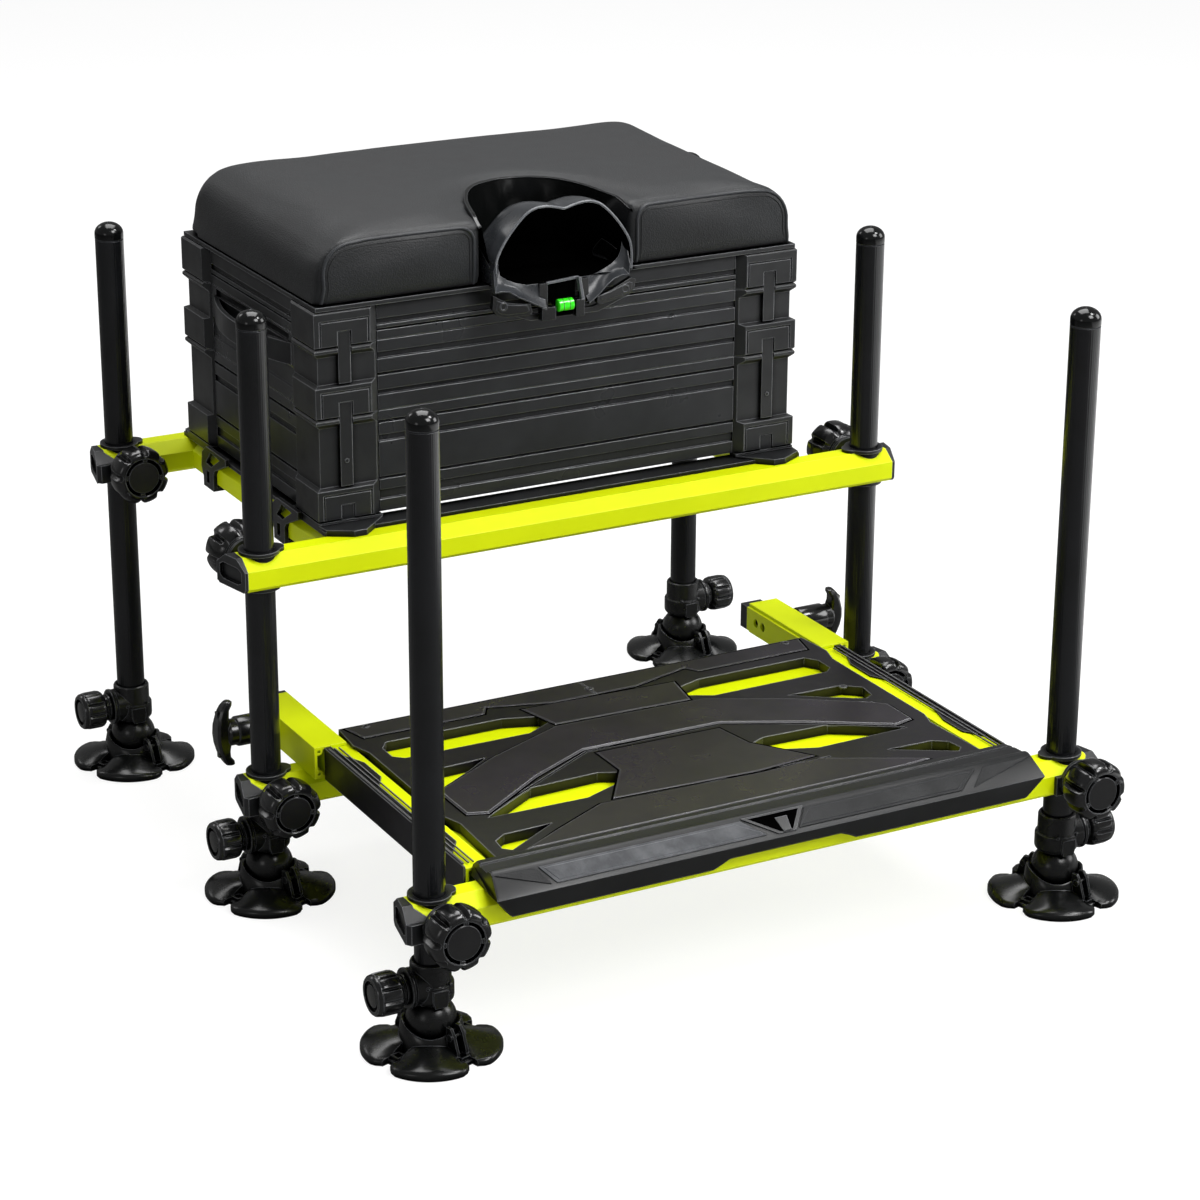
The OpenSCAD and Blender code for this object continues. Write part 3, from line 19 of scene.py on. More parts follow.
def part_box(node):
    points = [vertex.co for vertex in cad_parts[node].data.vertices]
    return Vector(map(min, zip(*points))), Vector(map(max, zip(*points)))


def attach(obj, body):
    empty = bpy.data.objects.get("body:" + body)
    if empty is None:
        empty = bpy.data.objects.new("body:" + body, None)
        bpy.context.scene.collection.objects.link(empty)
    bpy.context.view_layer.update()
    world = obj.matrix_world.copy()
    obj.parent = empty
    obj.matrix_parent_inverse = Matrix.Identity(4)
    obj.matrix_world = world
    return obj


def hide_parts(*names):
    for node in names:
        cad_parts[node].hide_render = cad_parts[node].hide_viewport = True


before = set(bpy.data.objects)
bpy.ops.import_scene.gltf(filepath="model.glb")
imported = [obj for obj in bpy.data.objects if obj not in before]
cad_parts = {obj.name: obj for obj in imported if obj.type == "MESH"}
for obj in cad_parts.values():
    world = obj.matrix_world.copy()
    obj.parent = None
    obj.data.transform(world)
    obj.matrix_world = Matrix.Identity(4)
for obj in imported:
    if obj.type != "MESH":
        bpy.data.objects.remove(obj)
LOG = logging.getLogger("seat_box")
MM = 0.001
SIDES = (("left", -1), ("right", 1))
# The six legs: distance of both columns from the middle plane, and each row's place along Y.
LEG_SPAN = 290.0
LEG_ROWS = {"rear": 317.0, "front": 0.0, "foot": -313.0}
# Painted highlight along edges: cosine of the bevel's turn at its start and at its full strength, and that
# strength.
PAINTED_ARRIS_START, PAINTED_ARRIS_FULL, PAINTED_ARRIS_SHARE = 0.995, 0.85, 0.8
# Painted shade in creases: share of open air at its darkest and at its clearest, and the light left at the
# darkest.
CREASE_SHUT, CREASE_CLEAR, CREASE_LIGHT = 0.5, 0.97, 0.04
# Drawing lines: height in millimetres and strength of their relief.
LINE_HEIGHT_MM, LINE_STRENGTH = 0.05, 0.6

Point = tuple[float, float, float]
Links = dict[str | int, tuple[bpy.types.Node, str | int]]


def frame_shift() -> float:
    """Works out how far the solids' frame lies behind the measuring frame.

    Returns:
        Distance along Y in millimetres.
    """
    low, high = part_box("main_front_tube")
    return (low.y + high.y) / 2 / MM


SHIFT = frame_shift()


def grey(tone: float) -> tuple[float, float, float, float]:
    """Makes an opaque grey in linear light.

    Args:
        tone: Value of its three channels.

    Returns:
        The grey with an alpha of 1.
    """
    return (tone, tone, tone, 1.0)


def linear(colour: str) -> tuple[float, float, float, float]:
    """Turns an sRGB hex colour into linear light.

    Args:
        colour: Six hex digits with a leading hash.

    Returns:
        Red, green, blue and alpha for a shader socket.
    """
    values = [int(colour[i : i + 2], 16) / 255 for i in (1, 3, 5)]
    out = [v / 12.92 if v <= 0.04045 else ((v + 0.055) / 1.055) ** 2.4 for v in values]
    return (out[0], out[1], out[2], 1.0)


def add_node(
    tree: bpy.types.NodeTree,
    kind: str,
    settings: dict[str, object] | None = None,
    values: dict[str | int, object] | None = None,
    links: Links | None = None,
) -> bpy.types.Node:
    """Adds a shader node with its settings, socket values and links.

    Args:
        tree: Node tree of the material or world.
        kind: Blender's type name of the node.
        settings: Properties of the node itself.
        values: Values for input sockets, by name or number.
        links: Input socket to the node and output that feed it.

    Returns:
        The new node.
    """
    new = tree.nodes.new(kind)
    for key, value in (settings or {}).items():
        setattr(new, key, value)
    for key, value in (values or {}).items():
        new.inputs[key].default_value = value
    for key, (source, output) in (links or {}).items():
        tree.links.new(source.outputs[output], new.inputs[key])
    return new


class Run(Enum):
    """Direction in which an extruded or turned surface carries its fine lines."""

    NONE = (0.0, 0.0, 0.0)
    ALONG_X = (0.03, 1.0, 1.0)
    ALONG_Y = (1.0, 0.03, 1.0)
    ALONG_Z = (1.0, 1.0, 0.03)


@dataclass(frozen=True)
class Finish:
    """One material with the way its surface was made, and the highlight and shade painted into it.

    Attributes:
        name: Name of the material in the file.
        slot: Material slot of the record that it belongs to; not used by this script.
        base: Main colour as sRGB hex.
        second: Colour that cloudy variation mixes in.
        edge: Colour of the painted highlight along edges, laid wherever the bevel turns.
        roughness: Lowest and highest roughness over the surface.
        metallic: Share of metal in the surface.
        coat: Weight of a clear top layer.
        sheen: Weight of the soft glow of cloth.
        grain_mm: Size of the fine grain.
        grain_depth_mm: Height of the fine grain.
        cloud_mm: Size of the cloudy variation.
        lines: Direction of drawing lines.
        line_mm: Spacing of the drawing lines.
        edge_mm: Radius to which hard edges are rounded for the light, and width of the painted edge
            highlight.
        pebble: True for a cell-like grain as of leather or moulded texture.
        shine: Strength of the plain surface reflection.
        crease_shade_mm: Reach of the painted shade in creases, or nothing for none.
        speckle: Share of the base that small dark specks take away.
    """

    name: str
    slot: str
    base: str
    second: str
    edge: str
    roughness: tuple[float, float]
    metallic: float = 0.0
    coat: float = 0.0
    sheen: float = 0.0
    grain_mm: float = 0.8
    grain_depth_mm: float = 0.03
    cloud_mm: float = 45.0
    lines: Run = Run.NONE
    line_mm: float = 0.8
    edge_mm: float = 0.8
    pebble: bool = False
    shine: float = 0.4
    crease_shade_mm: float = 0.0
    speckle: float = 0.0

    def make(self) -> bpy.types.Material:
        """Builds the material with procedural colour, roughness and relief.

        Returns:
            The finished material.
        """
        found = bpy.data.materials.get(self.name)
        if found is not None:
            return found
        material = bpy.data.materials.new(self.name)
        material.use_nodes = True
        material.diffuse_color = linear(self.base)
        tree = material.node_tree
        tree.nodes.clear()
        place = add_node(tree, "ShaderNodeTexCoord")
        cloud = add_node(tree, "ShaderNodeTexNoise",
            values={"Scale": 1 / (self.cloud_mm * MM), "Detail": 3.0, "Roughness": 0.6},
            links={"Vector": (place, "Object")})
        if self.pebble:
            grain = add_node(tree, "ShaderNodeTexVoronoi", {"feature": "SMOOTH_F1"},
                {"Scale": 1 / (self.grain_mm * MM), "Smoothness": 0.35},
                {"Vector": (place, "Object")})
            grain_out = "Distance"
        else:
            grain = add_node(tree, "ShaderNodeTexNoise",
                values={"Scale": 1 / (self.grain_mm * MM), "Detail": 2.0},
                links={"Vector": (place, "Object")})
            grain_out = "Fac"
        tone = add_node(tree, "ShaderNodeMapRange",
            values={"From Min": 0.35, "From Max": 0.65}, links={"Value": (cloud, "Fac")})
        colour = add_node(tree, "ShaderNodeMix", {"data_type": "RGBA"},
            {"A": linear(self.base), "B": linear(self.second)}, {"Factor": (tone, "Result")})
        colour_out: tuple[bpy.types.Node, str | int] = (colour, 2)
        if self.speckle > 0:
            specks = add_node(tree, "ShaderNodeMapRange",
                values={"From Min": 0.35, "From Max": 0.6, "To Min": 1.0 - self.speckle,
                    "To Max": 1.0}, links={"Value": (grain, grain_out)})
            shade = add_node(tree, "ShaderNodeMix",
                {"data_type": "RGBA", "blend_type": "MULTIPLY"}, {"Factor": 1.0},
                {"A": colour_out, "B": (specks, "Result")})
            colour_out = (shade, 2)
        # Painted highlight: where the rounded normal turns away from the flat one, the edge colour is mixed
        # in whatever the lamps.
        rounded = add_node(tree, "ShaderNodeBevel", {"samples": 4},
            {"Radius": self.edge_mm * MM})
        flat = add_node(tree, "ShaderNodeNewGeometry")
        facing = add_node(tree, "ShaderNodeVectorMath", {"operation": "DOT_PRODUCT"},
            links={0: (rounded, "Normal"), 1: (flat, "Normal")})
        painted_arris_mask = add_node(tree, "ShaderNodeMapRange",
            values={"From Min": PAINTED_ARRIS_START, "From Max": PAINTED_ARRIS_FULL, "To Min": 0.0,
                "To Max": PAINTED_ARRIS_SHARE},
            links={"Value": (facing, "Value")})
        with_painted_arris = add_node(tree, "ShaderNodeMix", {"data_type": "RGBA"}, {"B": linear(self.edge)},
            {"Factor": (painted_arris_mask, "Result"), "A": colour_out})
        gloss = add_node(tree, "ShaderNodeMapRange",
            values={"From Min": 0.3, "From Max": 0.7, "To Min": self.roughness[0],
                "To Max": self.roughness[1]}, links={"Value": (cloud, "Fac")})
        relief = add_node(tree, "ShaderNodeBump",
            values={"Strength": 1.0, "Distance": self.grain_depth_mm * MM},
            links={"Height": (grain, grain_out), "Normal": (rounded, "Normal")})
        if self.lines is not Run.NONE:
            stretch = add_node(tree, "ShaderNodeMapping",
                values={"Scale": Vector(self.lines.value) / (self.line_mm * MM)},
                links={"Vector": (place, "Object")})
            drawn = add_node(tree, "ShaderNodeTexNoise", values={"Scale": 1.0, "Detail": 1.0},
                links={"Vector": (stretch, "Vector")})
            relief = add_node(tree, "ShaderNodeBump",
                values={"Strength": LINE_STRENGTH, "Distance": LINE_HEIGHT_MM * MM},
                links={"Height": (drawn, "Fac"), "Normal": (relief, "Normal")})
        base: tuple[bpy.types.Node, str | int] = (with_painted_arris, 2)
        shaded: Links = {}
        # Painted shade: colour and reflection are darkened where the surface is hemmed in, as in creases.
        if self.crease_shade_mm > 0:
            hidden = add_node(tree, "ShaderNodeAmbientOcclusion", {"samples": 4},
                {"Distance": self.crease_shade_mm * MM})
            crease_shade_mask = add_node(tree, "ShaderNodeMapRange",
                values={"From Min": CREASE_SHUT, "From Max": CREASE_CLEAR,
                    "To Min": CREASE_LIGHT, "To Max": 1.0},
                links={"Value": (hidden, "AO")})
            painted_crease_shade = add_node(tree, "ShaderNodeMix", {"data_type": "RGBA", "blend_type": "MULTIPLY"},
                {"Factor": 1.0}, {"A": (with_painted_arris, 2), "B": (crease_shade_mask, "Result")})
            dull = add_node(tree, "ShaderNodeMath", {"operation": "MULTIPLY"}, {1: self.shine},
                {0: (crease_shade_mask, "Result")})
            base = (painted_crease_shade, 2)
            shaded = {"Specular IOR Level": (dull, "Value")}
        shader = add_node(tree, "ShaderNodeBsdfPrincipled",
            values={"Metallic": self.metallic, "Coat Weight": self.coat,
                "Specular IOR Level": self.shine, "Coat Roughness": 0.12,
                "Sheen Weight": self.sheen, "Sheen Roughness": 0.5},
            links={"Base Color": base, **shaded, "Roughness": (gloss, "Result"),
                "Normal": (relief, "Normal")})
        add_node(tree, "ShaderNodeOutputMaterial", links={"Surface": (shader, "BSDF")})
        return material


# In each finish below, the third colour is a painted highlight along edges, and the crease reach sets
# painted shade in creases.
# Powder-coated extruded aluminium: an even, dense lime with a soft orange-peel gloss.
LIME_COAT = Finish("lime powder coated aluminium", "lime_metal", "#D8E604", "#CEDC02",
    "#F2FF5A", (0.36, 0.46), shine=0.14, grain_mm=1.2, grain_depth_mm=0.02, cloud_mm=120,
    lines=Run.ALONG_X, line_mm=1.1, edge_mm=1.0)
LIME_RAIL = Finish("lime powder coated rail", "lime_metal", "#D8E604", "#CEDC02",
    "#F2FF5A", (0.36, 0.46), shine=0.14, grain_mm=1.2, grain_depth_mm=0.02, cloud_mm=120,
    lines=Run.ALONG_Y, line_mm=1.1, edge_mm=0.8)
# Anodised extruded aluminium: graphite grey with fine drawing lines that streak the light.
GRAPHITE_FRONT = Finish("graphite anodised panel", "graphite_metal", "#2A2B2D", "#202123",
    "#9A9CA0", (0.26, 0.38), metallic=0.35, shine=0.5, grain_mm=0.7, grain_depth_mm=0.012, cloud_mm=60,
    lines=Run.ALONG_X, line_mm=0.7, edge_mm=1.0, crease_shade_mm=6.0)
# Glass-filled nylon, moulded with an etched grain: a dry charcoal whose pale arrises are a painted
# highlight.
CHARCOAL_NYLON = Finish("charcoal moulded nylon", "grey_moulding", "#202122", "#17181A",
    "#9A9CA0", (0.3, 0.42), grain_mm=0.9, grain_depth_mm=0.03, cloud_mm=35, edge_mm=1.0, crease_shade_mm=7.0)
# The same nylon in the deck's sunk ground: darker, with wider pale arrises that are a painted highlight.
DECK_NYLON = Finish("charcoal moulded deck", "grey_moulding", "#1A181C", "#111013",
    "#A8A9AC", (0.28, 0.42), grain_mm=1.1, grain_depth_mm=0.05, cloud_mm=55, edge_mm=1.4, crease_shade_mm=7.0)
# The deck's raised fields, polished smoother by soles: a shade paler as a painted sheen, with wide painted
# highlights on their arrises.
DECK_POLISH_AND_SHEEN = Finish("polished deck with painted sheen", "grey_moulding", "#2B282D", "#201E22",
    "#B0B1B4", (0.24, 0.36), grain_mm=1.1, grain_depth_mm=0.04, cloud_mm=70, edge_mm=1.4, crease_shade_mm=4.0)
# The nylon of the toe bar: blacker and drier than the deck, with narrow arrises.
BAR_NYLON = Finish("black moulded toe bar", "grey_moulding", "#141516", "#0E0F10",
    "#808286", (0.32, 0.44), grain_mm=1.0, grain_depth_mm=0.03, cloud_mm=45, edge_mm=0.8, crease_shade_mm=4.0)
# ABS moulded in a polished tool: near black with clear reflections.
GLOSS_ABS = Finish("polished black ABS", "black_moulding", "#0B0C0C", "#080909",
    "#606266", (0.1, 0.18), grain_mm=1.5, grain_depth_mm=0.008, cloud_mm=40, edge_mm=0.8)
# Glass-filled nylon from a polished tool, handled a lot: dark with satin highlights.
KNOB_NYLON = Finish("black knob nylon", "knob_moulding", "#0F1010", "#0A0A0B",
    "#7C7E82", (0.14, 0.24), grain_mm=1.0, grain_depth_mm=0.01, cloud_mm=20, edge_mm=0.8, crease_shade_mm=5.0,
    shine=0.65)
# Black anodised drawn tube: smooth near black, finely lined along its length.
ANODISED_TUBE = Finish("black anodised tube", "black_tube", "#17181A", "#121314",
    "#6A6C70", (0.14, 0.22), metallic=0.2, shine=0.5, grain_mm=0.9, grain_depth_mm=0.01, cloud_mm=60,
    lines=Run.ALONG_Z, line_mm=0.6, edge_mm=0.5)
# Stainless hinge leaf, brushed: pale streaks along its length.
BRUSHED_STEEL = Finish("brushed stainless steel", "hinge_steel", "#8E9094", "#84868A",
    "#B8BABE", (0.3, 0.4), metallic=1.0, shine=0.5, grain_mm=0.8, grain_depth_mm=0.01,
    lines=Run.ALONG_X, line_mm=0.4, edge_mm=0.4)
# Polyurethane-coated cloth over foam: matt charcoal with a fine pebbled grain and dark specks.
# The real grain is about 0.6 mm and is drawn at 1.3 mm so that it shows at this distance.
COATED_CLOTH = Finish("charcoal coated cloth", "seat_cloth", "#1D1F21", "#191A1C",
    "#3E4044", (0.46, 0.56), sheen=0.03, grain_mm=1.3, speckle=0.3, grain_depth_mm=0.18, cloud_mm=90,
    edge_mm=1.0, pebble=True)
# The same cloth where a welt stretches it: a shade paler.
WELT_CLOTH = Finish("stretched coated cloth", "seat_cloth", "#2A2C2F", "#242629",
    "#4A4C50", (0.4, 0.5), grain_mm=1.3, grain_depth_mm=0.05, cloud_mm=90, edge_mm=0.8, pebble=True)
# Rubber grip, moulded with a leather grain; its grey edges are a painted highlight.
GRIP_RUBBER = Finish("grained grip rubber", "grip_rubber", "#1A1B1C", "#131415",
    "#4C4E52", (0.42, 0.55), grain_mm=1.6, grain_depth_mm=0.12, cloud_mm=25, edge_mm=0.5,
    pebble=True, shine=0.2)
# The same rubber where boots have scuffed it: a paler, dusty leather grain.
DUSTY_GRIP = Finish("scuffed grip rubber", "grip_rubber", "#3C3E42", "#2C2E32",
    "#7A7C80", (0.45, 0.6), grain_mm=2.2, grain_depth_mm=0.14, cloud_mm=12, edge_mm=0.6, pebble=True)
# The nylon of shoes and pads, moulded black with a dull satin.
SHOE_NYLON = Finish("black shoe nylon", "black_moulding", "#0F1010", "#0A0B0B",
    "#707276", (0.18, 0.32), grain_mm=0.9, grain_depth_mm=0.015, cloud_mm=25, edge_mm=0.7, crease_shade_mm=5.0)
# The polished ABS made paler and satin: a painted highlight on the hood's flank and the chin bands.
PAINTED_HIGHLIGHT_ABS = Finish("satin ABS with painted highlight", "black_moulding", "#36383B", "#26282B",
    "#8A8C90", (0.2, 0.3), grain_mm=1.5, grain_depth_mm=0.01, cloud_mm=18, edge_mm=0.8)
# Painted shade: a black without reflection for the insides of mouldings, grooves and crevices where shade
# falls; it also draws the vial's real dark marks.
PAINTED_SHADE_AND_MARK_BLACK = Finish("black for painted shade and marks", "black_moulding", "#030303", "#020202",
    "#060607", (0.7, 0.8), grain_mm=1.0, grain_depth_mm=0.01, cloud_mm=20, edge_mm=0.3, shine=0.0)
# A thin arris of that ABS painted pale: a painted highlight on the rim, the window's frame and the pivot
# heads.
PAINTED_RIM_HIGHLIGHT = Finish("ABS arris with painted highlight", "black_moulding", "#5A5C60", "#4E5054",
    "#C8CACE", (0.25, 0.3), grain_mm=1.0, grain_depth_mm=0.005, cloud_mm=20, edge_mm=0.4)
# Bonded nylon thread, a shade darker than the cloth it holds.
STITCH_THREAD = Finish("bonded black thread", "seat_cloth", "#1A1B1D", "#131416",
    "#2A2B2D", (0.55, 0.65), grain_mm=0.5, grain_depth_mm=0.05, cloud_mm=10, edge_mm=0.2)
# Dyed spirit behind clear acrylic: saturated green with a clear glossy coat.
VIAL_LIQUID = Finish("dyed spirit in acrylic", "spirit_glass", "#3CF020", "#22D810",
    "#B4FF9A", (0.08, 0.16), coat=0.6, grain_mm=2.5, grain_depth_mm=0.01, cloud_mm=5, edge_mm=0.6)


@dataclass
class Studio:
    """Camera, floor, lamps and surroundings of the picture.

    Attributes:
        lens_mm: Focal length.
        sensor_mm: Width of the camera's sensor.
        azimuth: Turn of the camera round the object in degrees.
        elevation: Height of the camera over the horizon in degrees.
        roll: Turn of the camera about its own axis in degrees.
        eye: Place of the camera in the measuring frame, in millimetres.
        floor_height: Height of the floor in metres, just under the pads' soles.
        floor_reach: Distance in metres from the middle of the floor to its edges.
        floor_tones: Two greys of the floor that the lamps light.
        floor_seen: Grey that takes the shadows where the camera sees the floor.
        floor_glow: Even light that the camera sees on the floor besides.
        mirrored_from_to: Where along X, in metres, the floor seen in reflections turns from dark to pale: a
            painted reflection.
        mirrored_tones: Its dark and its pale grey in that painted reflection.
        fill: Strength of the surroundings on matt surfaces.
        mirrored_fill: Strength of the surroundings in reflections.
        backdrop: Strength of the surroundings behind the object.
        lamps: Name, place, point faced, edge length in metres and power in watts.
    """

    lens_mm: float = 99.73
    sensor_mm: float = 36.0
    azimuth: float = -28.502
    elevation: float = 20.63
    roll: float = 0.264
    eye: Point = (-1255.98, -2358.37, 1216.89)
    floor_height: float = -0.0002
    floor_reach: float = 30.0
    floor_tones: tuple[float, float] = (0.6, 0.63)
    floor_seen: float = 0.22
    floor_glow: float = 0.84
    mirrored_from_to: tuple[float, float] = (0.62, 1.0)
    mirrored_tones: tuple[float, float] = (0.14, 0.85)
    fill: float = 0.28
    mirrored_fill: float = 0.22
    backdrop: float = 1.0
    lamps: tuple[tuple[str, Point, Point, float, float], ...] = (
        ("key", (0.8, -2.6, 2.8), (0.0, 0.0, 0.3), 1.4, 80.0),
        ("top", (0.3, 0.8, 3.2), (0.0, 0.1, 0.3), 2.2, 95.0),
        ("side", (2.6, -1.0, 1.4), (0.0, 0.0, 0.3), 1.2, 30.0),
        ("strip", (-2.6, -1.4, 1.0), (0.0, 0.0, 0.3), 0.7, 3.0),
        ("arris right", (1.4, -1.1, 2.8), (0.0, 0.0, 0.4), 0.6, 30.0),
        ("arris back", (-1.2, 2.5, 2.0), (0.0, 0.0, 0.4), 0.7, 5.0))

    def camera(self) -> None:
        """Places the camera that matches the photograph."""
        az, el, roll = (math.radians(v) for v in (self.azimuth, self.elevation, self.roll))
        back = Vector((math.sin(az) * math.cos(el), -math.cos(az) * math.cos(el), math.sin(el)))
        right = Vector((math.cos(az), math.sin(az), 0.0))
        up = back.cross(right)
        right_rolled = math.cos(roll) * right + math.sin(roll) * up
        up_rolled = back.cross(right_rolled)
        data = bpy.data.cameras.new("camera")
        data.lens = self.lens_mm
        data.sensor_width = self.sensor_mm
        data.clip_end = 50.0
        holder = bpy.data.objects.new("camera", data)
        turn = Matrix((right_rolled, up_rolled, back)).transposed()
        eye = Vector((self.eye[0], self.eye[1] + SHIFT, self.eye[2])) * MM
        holder.matrix_world = Matrix.Translation(eye) @ turn.to_4x4()
        bpy.context.scene.collection.objects.link(holder)
        bpy.context.scene.camera = holder

    def floor(self) -> None:
        """Lays the pale floor that keeps the shadows."""
        material = bpy.data.materials.new("pale studio floor")
        material.use_nodes = True
        tree = material.node_tree
        tree.nodes.clear()
        place = add_node(tree, "ShaderNodeTexCoord")
        cloud = add_node(tree, "ShaderNodeTexNoise", values={"Scale": 3.0},
            links={"Vector": (place, "Object")})
        tone = add_node(tree, "ShaderNodeMix", {"data_type": "RGBA"},
            {"A": grey(self.floor_tones[0]), "B": grey(self.floor_tones[1])},
            {"Factor": (cloud, "Fac")})
        matt = add_node(tree, "ShaderNodeBsdfDiffuse", links={"Color": (tone, 2)})
        faint = add_node(tree, "ShaderNodeBsdfDiffuse", values={"Color": grey(self.floor_seen)})
        # Painted reflection: glossy rays see the floor as a ramp from dark to pale along X, which lays
        # streaks of light on dark parts.
        lie = add_node(tree, "ShaderNodeVectorMath", {"operation": "DOT_PRODUCT"},
            {1: (1.0, 0.0, 0.0)}, {0: (place, "Object")})
        edge = add_node(tree, "ShaderNodeMapRange", {"interpolation_type": "SMOOTHSTEP"},
            {"From Min": self.mirrored_from_to[0], "From Max": self.mirrored_from_to[1],
                "To Min": self.mirrored_tones[0], "To Max": self.mirrored_tones[1]},
            {"Value": (lie, "Value")})
        dark = add_node(tree, "ShaderNodeBsdfDiffuse", links={"Color": (edge, "Result")})
        glow = add_node(tree, "ShaderNodeEmission",
            values={"Color": grey(1.0), "Strength": self.floor_glow})
        both = add_node(tree, "ShaderNodeAddShader", links={0: (faint, 0), 1: (glow, 0)})
        path = add_node(tree, "ShaderNodeLightPath")
        mirrored = add_node(tree, "ShaderNodeMixShader",
            links={0: (path, "Is Glossy Ray"), 1: (matt, 0), 2: (dark, 0)})
        choice = add_node(tree, "ShaderNodeMixShader",
            links={0: (path, "Is Camera Ray"), 1: (mirrored, 0), 2: (both, 0)})
        add_node(tree, "ShaderNodeOutputMaterial", links={"Surface": (choice, 0)})
        mesh = bpy.data.meshes.new("floor")
        reach = self.floor_reach
        corners = [(-reach, -reach, 0), (reach, -reach, 0), (reach, reach, 0), (-reach, reach, 0)]
        mesh.from_pydata(corners, [], [(0, 1, 2, 3)])
        mesh.materials.append(material)
        floor = bpy.data.objects.new("floor", mesh)
        floor.location.z = self.floor_height
        bpy.context.scene.collection.objects.link(floor)

    def lamp(self, name: str, at: Point, to: Point, size: float, power: float) -> None:
        """Hangs one soft rectangular lamp.

        Args:
            name: Name of the lamp.
            at: Place in metres.
            to: Point in metres that it faces.
            size: Edge length in metres.
            power: Radiant power in watts.
        """
        data = bpy.data.lights.new(name, "AREA")
        data.shape = "SQUARE"
        data.size = size
        data.energy = power
        lamp = bpy.data.objects.new(name, data)
        lamp.location = at
        lamp.rotation_euler = (Vector(to) - Vector(at)).to_track_quat("-Z", "Y").to_euler()
        bpy.context.scene.collection.objects.link(lamp)

    def surroundings(self) -> None:
        """Fills the world with plain light and a white background for the eye."""
        scene = bpy.context.scene
        scene.view_settings.view_transform = "Standard"
        world = bpy.data.worlds.new("studio")
        scene.world = world
        world.use_nodes = True
        tree = world.node_tree
        tree.nodes.clear()
        path = add_node(tree, "ShaderNodeLightPath")
        fill = add_node(tree, "ShaderNodeBackground",
            values={"Color": grey(1.0), "Strength": self.fill})
        dim = add_node(tree, "ShaderNodeBackground",
            values={"Color": grey(1.0), "Strength": self.mirrored_fill})
        white = add_node(tree, "ShaderNodeBackground",
            values={"Color": grey(1.0), "Strength": self.backdrop})
        lit = add_node(tree, "ShaderNodeMixShader",
            links={0: (path, "Is Glossy Ray"), 1: (fill, 0), 2: (dim, 0)})
        mixed = add_node(tree, "ShaderNodeMixShader",
            links={0: (path, "Is Camera Ray"), 1: (lit, 0), 2: (white, 0)})
        add_node(tree, "ShaderNodeOutputWorld", links={"Surface": (mixed, 0)})

    def build(self) -> None:
        """Sets up the whole studio."""
        self.camera()
        self.floor()
        self.surroundings()
        for name, at, to, size, power in self.lamps:
            self.lamp(name, at, to, size, power)


